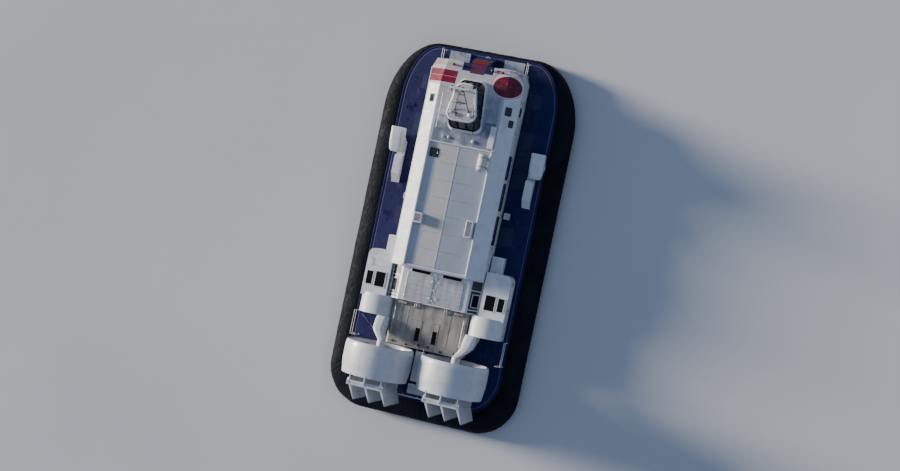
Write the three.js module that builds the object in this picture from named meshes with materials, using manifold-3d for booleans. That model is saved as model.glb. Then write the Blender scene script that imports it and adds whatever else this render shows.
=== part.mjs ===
// A twin-propeller passenger hovercraft, parked on its landing skids with the skirt slack.
// Millimetres. The bow points to -Y, the stern to +Y, port is +X and up is +Z.
// The origin is on the ground, amidships on the centreline.
import * as THREE from 'three';
import { mergeVertices } from 'three/addons/utils/BufferGeometryUtils.js';
import Module from 'manifold-3d';

const wasm = await Module();
wasm.setup();

// Driving dimensions
const GAP = 0.3; // left between pieces that touch
const RUNNING_GAP = 0.5; // left where one piece turns on another
const SIDES = [
  { name: 'port', sign: 1 },
  { name: 'starboard', sign: -1 },
];

const DECK = 1200;
const HULL = {
  bottom: 280,
  chine: 640, // height where the side starts to slope in
  bottomInset: 600,
  halfWidth: 4970,
  bow: -11480,
  stern: 10500,
  bowCorner: { x: 1900, y: 3400 },
  sternCorner: { x: 1970, y: 2400 },
};
const CORNER_STEPS = 8;
const SKIRT = {
  halfWidth: 6150,
  bow: -11700,
  stern: 11700,
  bowCorner: { x: 3050, y: 4400 },
  sternCorner: { x: 2600, y: 2600 },
  bowSplit: -6900,
  sternSplit: 7800,
};
// One section of the skirt: share of the way from deck edge to the fullest line, and height.
const SKIRT_SECTION = [
  { out: 0, z: 1120 },
  { out: 0.25, z: 1150 },
  { out: 0.55, z: 1090 },
  { out: 0.82, z: 930 },
  { out: 0.97, z: 700 },
  { out: 1, z: 480 },
  { out: 0.95, z: 250 },
  { out: 0.86, z: 0 },
  { out: 0.55, z: 0 },
  { out: 0.3, z: 300 },
  { out: 0, z: 660 },
];
const SKID = { x: 2400, halfWidth: 230, halfLength: 7000, rise: 700 };
const LIFTING_PAD = { half: 150, height: 40, places: [{ x: 4200, y: -7600 }, { x: 4200, y: 6400 }] };

const CABIN = {
  halfWidth: 2920,
  wall: 80,
  front: -10550,
  cornerStart: -10000, // where the front corners start to run in
  frontHalfWidth: 2700,
  rear: 2350,
  wallTop: 3000,
  roofTop: 3600,
  roofHalfWidth: 2080,
  roofThickness: 120,
  browStart: -9000,
  browMiddle: 3310,
  browShoulder: 2030,
  browTop: 3150,
  browHalfWidth: 1950,
};
const ROOF_RECESS = { halfWidth: 1950, front: -5400, rear: 2200, depth: 50 };
const ROOF_HATCH = { x: 1550, y: -4780, half: 230, lap: 40, thickness: 50 };
const ROOF_LADDER_WAY = { halfWidth: 350, front: -7200, rear: -6600 };
const ROOF_VENTS = {
  port: { inner: 1410, outer: 1900, front: -990, rear: -400, height: 350 },
  starboard: { inner: 1410, outer: 1830, front: -1130, rear: -110, height: 350 },
};
const SIDE_WINDOWS = [
  { from: -5450, to: -4050 },
  { from: -3750, to: -2100 },
  { from: -1720, to: 30 },
];
const SIDE_WINDOW = { bottom: 2000, top: 2880, skin: 25, rebate: 120, glass: 12 };
const DOOR = { bottom: 1370, top: 2900, lap: 40, thickness: 50 };
const SIDE_DOOR = { from: -8700, to: -7700 };
const FRONT_DOOR = { inner: 1310, outer: 2210 };
const DOOR_WINDOW = { margin: 270, bottom: 2250, top: 2700 };
const SEATS = {
  rows: 11,
  first: -7200,
  pitch: 850,
  inner: 450,
  outer: 2500,
  rails: [700, 2200],
  railHalf: 40,
  seatHeight: 400,
  seatDepth: 420,
  backHeight: 1050,
  thickness: 100,
};
const NOSE = {
  halfWidth: 600,
  front: -11250,
  lip: 130,
  shoulderRun: 330,
  shoulderZ: 2500,
  crownRun: 80,
  top: 2900,
};
const RAMP = { inner: 1085, outer: 2435, front: -11350, rear: -10700, lift: 10, thickness: 100 };

const PILOTHOUSE = {
  base: { z: 3100, frontHalf: 1000, rearHalf: 1150, front: -9700, rear: -6100 },
  top: { z: 5000, frontHalf: 640, rearHalf: 880, front: -9060, rear: -6850 },
  corner: 450,
  wall: 40,
  glass: 12,
  windowBottom: 3950,
  windowTop: 4890,
  glassLap: 70,
  roofEdge: 5120,
  roofTop: 5200,
  roofLap: 60,
  roofRun: 120,
};
const FRONT_PANES = [[-600, -230], [-180, 180], [230, 600]];
const SIDE_PANES = [[-8700, -8000], [-7900, -7250]];
const REAR_PANES = [[-780, -300], [-250, 250], [300, 780]];
const FRONT_PANES_REAR = -8800;
const REAR_PANES_FRONT = -7100;
const HELM = {
  halfWidth: 620,
  floor: 30,
  floorRear: -7300,
  consoleFront: -8900,
  consoleRear: -8450,
  consoleHeight: 650,
  consoleFall: 150,
  seatX: 330,
  seatHalf: 220,
  seatFront: -8130,
  seatRear: -7680,
  seatHeight: 480,
  seatThickness: 100,
  backHeight: 1050,
  postHalf: 60,
};

// A tripod: two legs lean forward from the roof to a platform over a post
const MAST = {
  foot: { half: 430, y: -7450 },
  head: { half: 110, y: -8600, z: 6255 },
  postY: -8680,
  radius: 38,
  poleRadius: 27,
  poleTop: 7150,
  barHeights: [5600, 6000],
  platform: { half: 170, reach: 160, z: 6300, thickness: 60 },
};
const SCANNER = { y: -8600, halfLength: 600, halfDepth: 70, height: 110, pedestalRadius: 130, pedestal: 220 };

const ENGINE_CASING = {
  halfWidth: 2920,
  shoulder: 2250,
  topHalfWidth: 2150,
  rear: 4450,
  top: 2700,
  wall: 70,
};
// Air slots in its top and flanks, measured out from the centreline
const CASING_SLOTS = [
  { inner: 400, outer: 1600, front: 2430, rear: 2630 },
  { inner: 2430, outer: 2800, front: 3250, rear: 4000 },
];
const ENGINE_HATCH = { inner: 150, outer: 1750, front: 2700, rear: 4300, lap: 40, thickness: 50 };
const ENGINE = { inner: 500, outer: 1400, front: 2750, rear: 4200, height: 750 };
const AFT_CASING = {
  halfWidth: 2450,
  rear: 7250,
  top: 2400,
  chamfer: 140,
  slotX: 550,
  slotHalf: 150,
  slotDepth: 180,
};
const AFT_SLOT = { front: 5500, rear: 6800 };

// Each lift housing is a box with a plenum in it, and behind it a rounded volute round the fan
const LIFT = {
  inner: 2990,
  outer: 4600,
  front: 1700,
  top: 2500,
  wall: 60,
  floor: 150,
  bury: 200,
  corner: 380,
  plenumFront: 2950,
  voluteInner: 2465,
  voluteFront: 4455,
  rear: 5700,
  axisX: 3795,
  axisZ: 1900,
  crownRise: 880,
  boreRadius: 540,
  boreRear: 5450,
  bossRadius: 100,
  bossFront: 5250,
};
const LIFT_INLETS = [
  { inner: 3230, outer: 3860, front: 3080, rear: 4000 },
  { inner: 4040, outer: 4440, front: 3130, rear: 3950 },
];
const LOCKER = { inner: 3000, outer: 3750, front: 700, height: 600 };
const LIFT_FAN = {
  radius: 490,
  front: -740,
  rear: -110,
  shaft: 110,
  shaftFront: -680,
  eye: 360,
  blades: 12,
  bladeInner: 260,
  bladeHalf: 12,
  plate: 30,
};

const DUCT = { x: 2400, z: 3440, front: 7350, rear: 9400, segments: 56 };
// The duct's section: radius from its axis, and distance behind its front edge.
const DUCT_SECTION = [
  { r: 1905, y: 260 },
  { r: 1900, y: 1500 },
  { r: 1960, y: 2050 },
  { r: 2010, y: 2050 },
  { r: 2120, y: 1200 },
  { r: 2120, y: 360 },
  { r: 2080, y: 90 },
  { r: 2010, y: 0 },
  { r: 1940, y: 60 },
];
const DUCT_FOOT = { halfWidth: 760, front: 7500, rear: 9250, top: 1500 };
const NACELLE = { radius: 260, front: 7110, rear: 8000, sides: 20 };
const STRUT = { count: 4, halfThickness: 35, front: 7560, rear: 7900, inner: 200, outer: 1940 };
const PROPELLER = { hub: 250, blades: 4, hubRear: 480, spinner: 760 };
// The blade's sections: radius, chord, thickness and pitch angle.
const BLADE_SECTIONS = [
  { r: 150, chord: 240, thickness: 110, pitch: 62 },
  { r: 620, chord: 400, thickness: 60, pitch: 45 },
  { r: 1250, chord: 360, thickness: 36, pitch: 31 },
  { r: 1850, chord: 250, thickness: 18, pitch: 23 },
];
const RUDDER = {
  spacing: 1000,
  hinge: 9850,
  ahead: 300,
  behind: 1100,
  bottom: 1740,
  top: 5140,
  halfThickness: 60,
  pinRadius: 32,
  pinClearance: 0.4,
  restAngle: 25, // trailing edges towards starboard
};
const RUDDER_BAR = {
  front: 9700,
  rear: 10000,
  thickness: 95,
  clearance: 5,
  overhang: 1150,
  bracketHalf: 40,
  bracketReach: 250,
  inset: 10,
};

// The fairing from the aft casing up to the duct's nacelle, by stations along it.
const DRIVE_FAIRING = [
  { y: 5705, inner: 2460, outer: 3260, bottom: 1200.3, top: 2750 },
  { y: 6500, inner: 2460, outer: 3180, bottom: 2450, top: 3400 },
  { y: 7109, inner: 2180, outer: 2620, bottom: 3190, top: 3690 },
];
const FAIRING_CHAMFER = 120;

const THRUSTER = {
  x: 4520,
  y: -5200,
  baseRadius: 430,
  baseTop: 1380,
  lift: 5,
  halfWidth: 440,
  halfLength: 780,
  top: 2150,
  mouthDepth: 380,
  mouthWall: 70,
  mouthBottom: 1630,
  pivotRadius: 150,
  round: 260,
  bevel: 40,
  chin: 160,
  chinStart: 0.55, // share of the half length
};
const FEED = {
  inner: 4000,
  outer: 4500,
  front: -4290,
  rear: -2600,
  top: 1700,
  link: 1300,
  chamfer: 60,
  slope: 500,
};

const COLOURS = {
  navy: { color: 0x26296a, roughness: 0.55, metalness: 0.1 },
  white: { color: 0xe6e8ee, roughness: 0.4, metalness: 0.05 },
  casing: { color: 0x96948f, roughness: 0.55, metalness: 0.2 },
  skirt: { color: 0x141216, roughness: 0.8, metalness: 0 },
  glass: { color: 0x11161c, roughness: 0.08, metalness: 0 },
  steel: { color: 0x8a8f96, roughness: 0.4, metalness: 0.8 },
  dark: { color: 0x1b1c20, roughness: 0.6, metalness: 0.2 },
  cloth: { color: 0x2a3a66, roughness: 0.9, metalness: 0 },
  red: { color: 0x7d1a28, roughness: 0.5, metalness: 0.05 },
};

// Solids from three.js geometry
function signedVolume(position, index) {
  const [a, b, c] = [new THREE.Vector3(), new THREE.Vector3(), new THREE.Vector3()];
  let sum = 0;
  for (let i = 0; i < index.length; i += 3) {
    a.fromArray(position, 3 * index[i]);
    b.fromArray(position, 3 * index[i + 1]);
    c.fromArray(position, 3 * index[i + 2]);
    sum += a.dot(b.cross(c));
  }
  return sum / 6;
}

function solidOf(geometry) {
  geometry.deleteAttribute('normal');
  geometry.deleteAttribute('uv');
  const merged = mergeVertices(geometry, 1e-3);
  const position = new Float32Array(merged.attributes.position.array);
  const index = new Uint32Array(merged.index.array);
  if (signedVolume(position, index) < 0) {
    index.reverse();
  }
  return new wasm.Manifold(new wasm.Mesh({ numProp: 3, vertProperties: position, triVerts: index }));
}

function join(...solids) {
  return solids.flat().reduce((whole, next) => whole.add(next));
}

function cut(solid, ...tools) {
  return tools.flat().reduce((whole, tool) => whole.subtract(tool), solid);
}

function box(x, y, z) {
  const [x0, x1] = [Math.min(...x), Math.max(...x)];
  const geometry = new THREE.BoxGeometry(x1 - x0, y[1] - y[0], z[1] - z[0]);
  geometry.translate((x0 + x1) / 2, (y[0] + y[1]) / 2, (z[0] + z[1]) / 2);
  return solidOf(geometry);
}

// How an outline's two columns and its depth lie when it is extruded along x, y or z
const EXTRUDE_FRAMES = {
  x: new THREE.Matrix4().makeBasis(
    new THREE.Vector3(0, 1, 0), new THREE.Vector3(0, 0, 1), new THREE.Vector3(1, 0, 0)),
  y: new THREE.Matrix4().makeBasis(
    new THREE.Vector3(1, 0, 0), new THREE.Vector3(0, 0, 1), new THREE.Vector3(0, 1, 0)),
  z: new THREE.Matrix4(),
};

function prism(axis, outline, from, to) {
  const shape = new THREE.Shape(outline.map(([a, b]) => new THREE.Vector2(a, b)));
  const depth = Math.abs(to - from);
  const geometry = new THREE.ExtrudeGeometry(shape, { depth, bevelEnabled: false });
  geometry.translate(0, 0, Math.min(from, to));
  geometry.applyMatrix4(EXTRUDE_FRAMES[axis]);
  return solidOf(geometry);
}

// A round bar between two points
function rod(from, to, radius, sides) {
  const start = new THREE.Vector3(...from);
  const along = new THREE.Vector3(...to).sub(start);
  const geometry = new THREE.CylinderGeometry(radius, radius, along.length(), sides);
  geometry.translate(0, along.length() / 2, 0);
  geometry.applyQuaternion(
    new THREE.Quaternion().setFromUnitVectors(new THREE.Vector3(0, 1, 0), along.clone().normalize()));
  geometry.translate(start.x, start.y, start.z);
  return solidOf(geometry);
}

// A body through rings with equal numbers of points; its ends are capped unless it runs round
function loft(rings, runsRound = false) {
  const count = rings[0].length;
  const last = runsRound ? rings.length : rings.length - 1;
  const index = [];
  for (let ring = 0; ring < last; ring += 1) {
    const next = (ring + 1) % rings.length;
    for (let i = 0; i < count; i += 1) {
      const j = (i + 1) % count;
      index.push(ring * count + i, ring * count + j, next * count + j);
      index.push(ring * count + i, next * count + j, next * count + i);
    }
  }
  if (!runsRound) {
    const end = (rings.length - 1) * count;
    capTriangles(rings[0]).forEach(([a, b, c]) => index.push(a, c, b));
    capTriangles(rings[rings.length - 1]).forEach(([a, b, c]) => index.push(end + a, end + b, end + c));
  }
  const geometry = new THREE.BufferGeometry();
  geometry.setAttribute('position', new THREE.Float32BufferAttribute(rings.flat(2), 3));
  geometry.setIndex(index);
  return solidOf(geometry);
}

function capTriangles(ring) {
  const points = ring.map((point) => new THREE.Vector3(...point));
  const normal = new THREE.Vector3();
  points.forEach((point, i) => normal.add(point.clone().cross(points[(i + 1) % points.length])));
  const across = points[1].clone().sub(points[0]).normalize();
  const up = normal.normalize().clone().cross(across);
  const flat = points.map((point) => new THREE.Vector2(point.dot(across), point.dot(up)));
  return THREE.ShapeUtils.triangulateShape(flat, []);
}

function arcPoints(centre, radius, fromDegrees, toDegrees, steps) {
  return Array.from({ length: steps + 1 }, (unused, i) => {
    const angle = THREE.MathUtils.degToRad(fromDegrees + ((toDegrees - fromDegrees) * i) / steps);
    return [centre[0] + radius.x * Math.cos(angle), centre[1] + radius.y * Math.sin(angle)];
  });
}

// Hull and skirt share these outlines: four corners, each a quarter of an ellipse
function craftOutline(plan) {
  const bow = [plan.halfWidth - plan.bowCorner.x, plan.bow + plan.bowCorner.y];
  const stern = [plan.halfWidth - plan.sternCorner.x, plan.stern - plan.sternCorner.y];
  return [
    ...arcPoints(stern, plan.sternCorner, 0, 90, CORNER_STEPS),
    ...arcPoints([-stern[0], stern[1]], plan.sternCorner, 90, 180, CORNER_STEPS),
    ...arcPoints([-bow[0], bow[1]], plan.bowCorner, 180, 270, CORNER_STEPS),
    ...arcPoints(bow, plan.bowCorner, 270, 360, CORNER_STEPS),
  ];
}

const deckOutline = craftOutline(HULL);
const skirtOutline = craftOutline(SKIRT);

// A point that lies a share of the way from the deck edge to the skirt's fullest line, plus a distance
function outFromDeck(i, share, distance) {
  const deck = new THREE.Vector2(...deckOutline[i]);
  const way = new THREE.Vector2(...skirtOutline[i]).sub(deck);
  const place = deck.clone().addScaledVector(way, share);
  place.addScaledVector(way.clone().normalize(), distance);
  return [place.x, place.y];
}

function hull() {
  const levels = [
    { z: HULL.bottom, inset: HULL.bottomInset },
    { z: HULL.chine, inset: 0 },
    { z: DECK, inset: 0 },
  ];
  const body = loft(levels.map(({ z, inset }) => deckOutline.map((unused, i) => [
    ...outFromDeck(i, 0, -inset), z])));
  const { half, height, places } = LIFTING_PAD;
  const pads = places.flatMap(({ x, y }) => SIDES.map(({ sign }) => box(
    [sign * x - half, sign * x + half], [y - half, y + half], [DECK - half, DECK + height])));
  return join(body, pads);
}

function skirtRing() {
  return loft(deckOutline.map((unused, i) => SKIRT_SECTION.map(({ out, z }) => [
    ...outFromDeck(i, out, GAP), z])), true);
}

function skirtPieces() {
  const ring = skirtRing();
  const far = 2 * SKIRT.stern;
  const half = GAP / 2;
  const part = (x, y) => ring.intersect(box(x, y, [-far, far]));
  const middle = [SKIRT.bowSplit + half, SKIRT.sternSplit - half];
  return {
    skirt_bow: part([-far, far], [-far, SKIRT.bowSplit - half]),
    skirt_port: part([0, far], middle),
    skirt_starboard: part([-far, 0], middle),
    skirt_stern: part([-far, far], [SKIRT.sternSplit + half, far]),
  };
}

function landingSkid(sign) {
  const { x, halfWidth, halfLength, rise } = SKID;
  const top = HULL.bottom - GAP;
  const outline = [[-halfLength, 0], [halfLength, 0], [halfLength + rise, top], [-halfLength - rise, top]];
  return prism('x', outline, sign * x - halfWidth, sign * x + halfWidth);
}

// Cabin
function sideWall(sign) {
  const { halfWidth, wall, cornerStart, rear, wallTop } = CABIN;
  const span = [cornerStart, rear - wall - GAP];
  const x = [sign * (halfWidth - wall), sign * halfWidth];
  const through = [sign * (halfWidth - 2 * wall), sign * (halfWidth + wall)];
  const windows = SIDE_WINDOWS.map(({ from, to }) => box(
    through, [from, to], [SIDE_WINDOW.bottom, SIDE_WINDOW.top]));
  const door = box(through, [SIDE_DOOR.from, SIDE_DOOR.to], [DOOR.bottom, DOOR.top]);
  const { rebate, skin } = SIDE_WINDOW;
  const pocket = box(
    [sign * (halfWidth - 2 * wall), sign * (halfWidth - skin)],
    [SIDE_WINDOWS[0].from - rebate, SIDE_WINDOWS[2].to + rebate],
    [SIDE_WINDOW.bottom - rebate / 2, SIDE_WINDOW.top + rebate / 2]);
  return cut(box(x, span, [DECK + GAP, wallTop]), windows, door, pocket);
}

function sideGlass(sign) {
  const { rebate, skin, glass, bottom, top } = SIDE_WINDOW;
  const outer = CABIN.halfWidth - skin - GAP;
  const margin = rebate - 10;
  return box(
    [sign * (outer - glass), sign * outer],
    [SIDE_WINDOWS[0].from - margin, SIDE_WINDOWS[2].to + margin],
    [bottom - margin / 2, top + margin / 2]);
}

function cabinFront() {
  const { halfWidth, frontHalfWidth, front, cornerStart, wall, wallTop } = CABIN;
  const start = cornerStart - GAP;
  const outer = [[halfWidth, start], [frontHalfWidth, front], [-frontHalfWidth, front], [-halfWidth, start]];
  const inner = [
    [-halfWidth + wall, start],
    [-frontHalfWidth + wall, front + wall],
    [frontHalfWidth - wall, front + wall],
    [halfWidth - wall, start],
  ];
  const doors = SIDES.map(({ sign }) => box(
    [sign * FRONT_DOOR.inner, sign * FRONT_DOOR.outer],
    [front - wall, front + 2 * wall], [DOOR.bottom, DOOR.top]));
  return cut(prism('z', [...outer, ...inner], DECK + GAP, wallTop), doors);
}

function cabinRear() {
  const { halfWidth, rear, wall, wallTop } = CABIN;
  return box([-halfWidth, halfWidth], [rear - wall, rear], [DECK + GAP, wallTop]);
}

// The roof's stations from its rear edge to its front edge; shoulders slope in to the flat top
const ROOF_STATIONS = [
  { y: CABIN.rear, half: CABIN.halfWidth, topHalf: CABIN.roofHalfWidth, top: CABIN.roofTop },
  { y: CABIN.browStart, half: CABIN.halfWidth, topHalf: CABIN.roofHalfWidth, top: CABIN.roofTop },
  { y: CABIN.cornerStart, half: CABIN.halfWidth, topHalf: CABIN.browShoulder, top: CABIN.browMiddle },
  { y: CABIN.front, half: CABIN.frontHalfWidth, topHalf: CABIN.browHalfWidth, top: CABIN.browTop },
];

function roofOutside(lift) {
  const shoulder = CABIN.wallTop + GAP + lift;
  return loft(ROOF_STATIONS.map(({ y, half, topHalf, top }) => [
    [half, y, shoulder], [topHalf, y, top + lift], [-topHalf, y, top + lift], [-half, y, shoulder],
  ]));
}

function roofHollow() {
  const inset = CABIN.roofThickness;
  const shoulder = CABIN.wallTop + GAP;
  const below = shoulder - inset;
  return loft(ROOF_STATIONS.map(({ y, half, topHalf, top }) => {
    const drawnIn = THREE.MathUtils.clamp(y, CABIN.front + inset, CABIN.rear - inset);
    const [side, upper, level] = [half - inset, topHalf - inset / 2, top - inset];
    return [
      [side, drawnIn, below], [side, drawnIn, shoulder], [upper, drawnIn, level],
      [-upper, drawnIn, level], [-side, drawnIn, shoulder], [-side, drawnIn, below],
    ];
  }));
}

function cabinRoof() {
  const { roofThickness, roofTop } = CABIN;
  const recess = box(
    [-ROOF_RECESS.halfWidth, ROOF_RECESS.halfWidth],
    [ROOF_RECESS.front, ROOF_RECESS.rear],
    [roofTop - ROOF_RECESS.depth, roofTop + roofThickness]);
  const through = [roofTop - 2 * roofThickness, roofTop + roofThickness];
  const hatch = box(
    [ROOF_HATCH.x - ROOF_HATCH.half, ROOF_HATCH.x + ROOF_HATCH.half],
    [ROOF_HATCH.y - ROOF_HATCH.half, ROOF_HATCH.y + ROOF_HATCH.half],
    through);
  const ladderWay = box(
    [-ROOF_LADDER_WAY.halfWidth, ROOF_LADDER_WAY.halfWidth],
    [ROOF_LADDER_WAY.front, ROOF_LADDER_WAY.rear],
    through);
  return cut(roofOutside(0), roofHollow(), recess, hatch, ladderWay);
}

function roofHatch() {
  const { x, y, half, lap, thickness } = ROOF_HATCH;
  const reach = half + lap;
  const seat = CABIN.roofTop - ROOF_RECESS.depth + GAP;
  return box([x - reach, x + reach], [y - reach, y + reach], [seat, seat + thickness]);
}

function roofVent(side) {
  const vent = ROOF_VENTS[side.name];
  const seat = CABIN.roofTop - ROOF_RECESS.depth + GAP;
  return box(
    [side.sign * vent.inner, side.sign * vent.outer],
    [vent.front, vent.rear],
    [seat, seat + vent.height]);
}

function passengerSeats(sign) {
  const { rows, first, pitch, inner, outer, railHalf, seatHeight, seatDepth, backHeight, thickness } = SEATS;
  const floor = DECK + GAP;
  const seat = floor + seatHeight;
  const end = first + (rows - 1) * pitch + seatDepth + thickness;
  const across = (x, half) => [sign * x - half, sign * x + half];
  const profile = (y) => [
    [y, seat - thickness], [y + seatDepth, seat - thickness],
    [y + seatDepth + thickness, floor + backHeight], [y + seatDepth, floor + backHeight],
    [y + seatDepth - thickness, seat], [y, seat],
  ];
  const rails = SEATS.rails.map((x) => box(across(x, railHalf), [first, end], [floor, floor + railHalf]));
  const benches = Array.from({ length: rows }, (unused, row) => {
    const y = first + row * pitch;
    const legs = SEATS.rails.map((x) => box(
      across(x, railHalf / 2), [y + railHalf, y + seatDepth - railHalf],
      [floor + railHalf / 2, seat - thickness / 2]));
    return [prism('x', profile(y), sign * inner, sign * outer), legs];
  });
  return join(rails, benches.flat(2));
}

// A leaf that laps over a door opening, with a small window cut in it
function frontDoor(sign) {
  const { bottom, top, lap, thickness } = DOOR;
  const face = CABIN.front - GAP;
  const leaf = box(
    [sign * (FRONT_DOOR.inner - lap), sign * (FRONT_DOOR.outer + lap)],
    [face - thickness, face], [bottom - lap / 2, top + lap / 2]);
  const { margin } = DOOR_WINDOW;
  const window = box(
    [sign * (FRONT_DOOR.inner + margin), sign * (FRONT_DOOR.outer - margin)],
    [face - 2 * thickness, face + thickness], [DOOR_WINDOW.bottom, DOOR_WINDOW.top]);
  return cut(leaf, window);
}

function sideDoor(sign) {
  const { bottom, top, lap, thickness } = DOOR;
  const face = CABIN.halfWidth + GAP;
  const leaf = box(
    [sign * face, sign * (face + thickness)],
    [SIDE_DOOR.from - lap, SIDE_DOOR.to + lap], [bottom - lap / 2, top + lap / 2]);
  const { margin } = DOOR_WINDOW;
  const window = box(
    [sign * (face - thickness), sign * (face + 2 * thickness)],
    [SIDE_DOOR.from + margin, SIDE_DOOR.to - margin], [DOOR_WINDOW.bottom, DOOR_WINDOW.top]);
  return cut(leaf, window);
}

function noseFairing() {
  const deck = DECK + GAP;
  const back = CABIN.front - GAP;
  const { halfWidth, front, lip, shoulderRun, shoulderZ, crownRun, top } = NOSE;
  const outline = [
    [back, deck], [front, deck], [front, deck + lip],
    [back - shoulderRun, shoulderZ], [back - crownRun, top], [back, top],
  ];
  return prism('x', outline, -halfWidth, halfWidth);
}

function boardingRamp(sign) {
  const { inner, outer, front, rear, lift, thickness } = RAMP;
  const bottom = DECK + GAP + lift;
  const x = [sign * inner, sign * outer];
  const plate = box(x, [front, rear], [bottom, bottom + thickness]);
  const foot = box(x, [rear - thickness, rear - thickness / 2], [DECK + GAP, bottom + lift]);
  return join(plate, foot);
}

// Pilothouse
function pilothouseRing(z, inset) {
  const { base, top, corner } = PILOTHOUSE;
  const share = (z - base.z) / (top.z - base.z);
  const mix = (key) => THREE.MathUtils.lerp(base[key], top[key], share);
  const radius = corner - inset;
  const [rearX, frontX] = [mix('rearHalf') - corner, mix('frontHalf') - corner];
  const [front, rear] = [mix('front') + corner, mix('rear') - corner];
  const round = { x: radius, y: radius };
  const steps = 5;
  return [
    ...arcPoints([rearX, rear], round, 0, 90, steps),
    ...arcPoints([-rearX, rear], round, 90, 180, steps),
    ...arcPoints([-frontX, front], round, 180, 270, steps),
    ...arcPoints([frontX, front], round, 270, 360, steps),
  ].map(([px, py]) => [px, py, z]);
}

function pilothouseShell(bottom, top, inset, thickness) {
  const past = PILOTHOUSE.roofLap;
  const levels = [PILOTHOUSE.base.z - past, PILOTHOUSE.top.z + past];
  const tube = (inwards) => loft(levels.map((z) => pilothouseRing(z, inwards)));
  const reach = 2 * PILOTHOUSE.base.rearHalf;
  const slab = box([-reach, reach], [CABIN.front, PILOTHOUSE.base.rear + reach], [bottom, top]);
  return cut(tube(inset), tube(inset + thickness)).intersect(slab);
}

function pilothouseWalls() {
  const { base, top, wall, windowBottom, windowTop } = PILOTHOUSE;
  const height = [windowBottom, windowTop];
  const reach = 2 * base.rearHalf;
  const cuts = [
    ...FRONT_PANES.map((x) => box(x, [base.front, FRONT_PANES_REAR], height)),
    ...SIDE_PANES.map((y) => box([-reach, reach], y, height)),
    ...REAR_PANES.map((x) => box(x, [REAR_PANES_FRONT, base.rear], height)),
  ];
  return cut(pilothouseShell(base.z, top.z, 0, wall), cuts, roofOutside(GAP));
}

function pilothouseGlass() {
  const { wall, glass, windowBottom, windowTop, glassLap } = PILOTHOUSE;
  return pilothouseShell(windowBottom - glassLap, windowTop + glassLap, wall + GAP, glass);
}

function pilothouseRoof() {
  const { top, roofEdge, roofTop, roofLap, roofRun } = PILOTHOUSE;
  const rings = [
    { z: top.z + GAP, inset: -roofLap },
    { z: roofEdge, inset: -roofLap },
    { z: roofTop, inset: roofRun },
  ];
  return loft(rings.map(({ z, inset }) => pilothouseRing(top.z, inset).map(([x, y]) => [x, y, z])));
}

function pilotStation() {
  const { halfWidth, consoleFront, consoleRear, consoleHeight, seatX, seatHalf, seatFront, seatRear } = HELM;
  const floor = CABIN.roofTop + GAP;
  const plate = box([-halfWidth, halfWidth], [consoleFront, HELM.floorRear], [floor, floor + HELM.floor]);
  const console = prism('x', [
    [consoleFront, floor], [consoleRear, floor],
    [consoleRear, floor + consoleHeight - HELM.consoleFall], [consoleFront, floor + consoleHeight],
  ], -halfWidth, halfWidth);
  const base = floor + HELM.seatHeight - HELM.seatThickness;
  const middle = (seatFront + seatRear) / 2;
  const around = (centre, half) => [centre - half, centre + half];
  const seats = SIDES.flatMap(({ sign }) => {
    const across = around(sign * seatX, seatHalf);
    return [
      box(around(sign * seatX, HELM.postHalf), around(middle, HELM.postHalf), [floor, base + HELM.floor]),
      box(across, [seatFront, seatRear], [base, base + HELM.seatThickness]),
      box(across, [seatRear - HELM.seatThickness, seatRear], [base, floor + HELM.backHeight]),
    ];
  });
  return join(plate, console, seats);
}

// Mast and radar
function mast() {
  const { foot, head, postY, radius, poleRadius, poleTop, barHeights, platform } = MAST;
  const base = PILOTHOUSE.roofTop;
  const tube = (from, to, r) => rod(from, to, r, 8);
  const legAt = (sign, z) => {
    const half = THREE.MathUtils.mapLinear(z, base, head.z, foot.half, head.half);
    return [sign * half, THREE.MathUtils.mapLinear(z, base, head.z, foot.y, head.y), z];
  };
  const legs = SIDES.map(({ sign }) => tube(legAt(sign, base - 2 * radius), legAt(sign, head.z), radius));
  const post = tube([0, postY, base - radius], [0, postY, head.z], radius);
  const bars = barHeights.map((z) => tube(legAt(-1, z), legAt(1, z), radius));
  const shelf = box(
    [-platform.half, platform.half], [head.y - platform.reach, head.y + platform.reach],
    [platform.z - platform.thickness, platform.z]);
  const poleFoot = legAt(1, barHeights[0]);
  const pole = tube([0, poleFoot[1], poleFoot[2]], [0, poleFoot[1], poleTop], poleRadius);
  const far = 2 * foot.half;
  const roof = box([-far, far], [2 * postY, 0], [0, base + GAP]);
  return cut(join(legs, post, bars, shelf, pole), roof);
}

function radarScanner() {
  const { halfLength, halfDepth, height, pedestalRadius, pedestal } = SCANNER;
  const post = rod([0, 0, RUNNING_GAP], [0, 0, pedestal], pedestalRadius, 16);
  const bar = box([-halfLength, halfLength], [-halfDepth, halfDepth], [pedestal - 10, pedestal + height]);
  return join(post, bar);
}

// Machinery behind the cabin
function casingOutline(inset) {
  const { halfWidth, shoulder, topHalfWidth, top } = ENGINE_CASING;
  const base = inset > 0 ? 0 : DECK + GAP;
  const side = halfWidth - inset;
  const upper = topHalfWidth - inset / 2;
  const shoulderZ = shoulder - inset / 2;
  const topZ = top - inset;
  return [[-side, base], [side, base], [side, shoulderZ], [upper, topZ], [-upper, topZ], [-side, shoulderZ]];
}

function engineCasing() {
  const { rear, top, wall } = ENGINE_CASING;
  const front = CABIN.rear + GAP;
  const outside = prism('y', casingOutline(0), front, rear);
  const inside = prism('y', casingOutline(wall), front + wall, rear - wall);
  const through = [top - 8 * wall, top + wall];
  const holes = SIDES.flatMap(({ sign }) => [ENGINE_HATCH, ...CASING_SLOTS].map((hole) => box(
    [sign * hole.inner, sign * hole.outer], [hole.front, hole.rear], through)));
  return cut(outside, inside, holes);
}

function engineHatch(sign) {
  const { inner, outer, front, rear, lap, thickness } = ENGINE_HATCH;
  const seat = ENGINE_CASING.top + GAP;
  return box(
    [sign * (inner - lap), sign * (outer + lap)],
    [front - lap, rear + lap], [seat, seat + thickness]);
}

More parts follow.
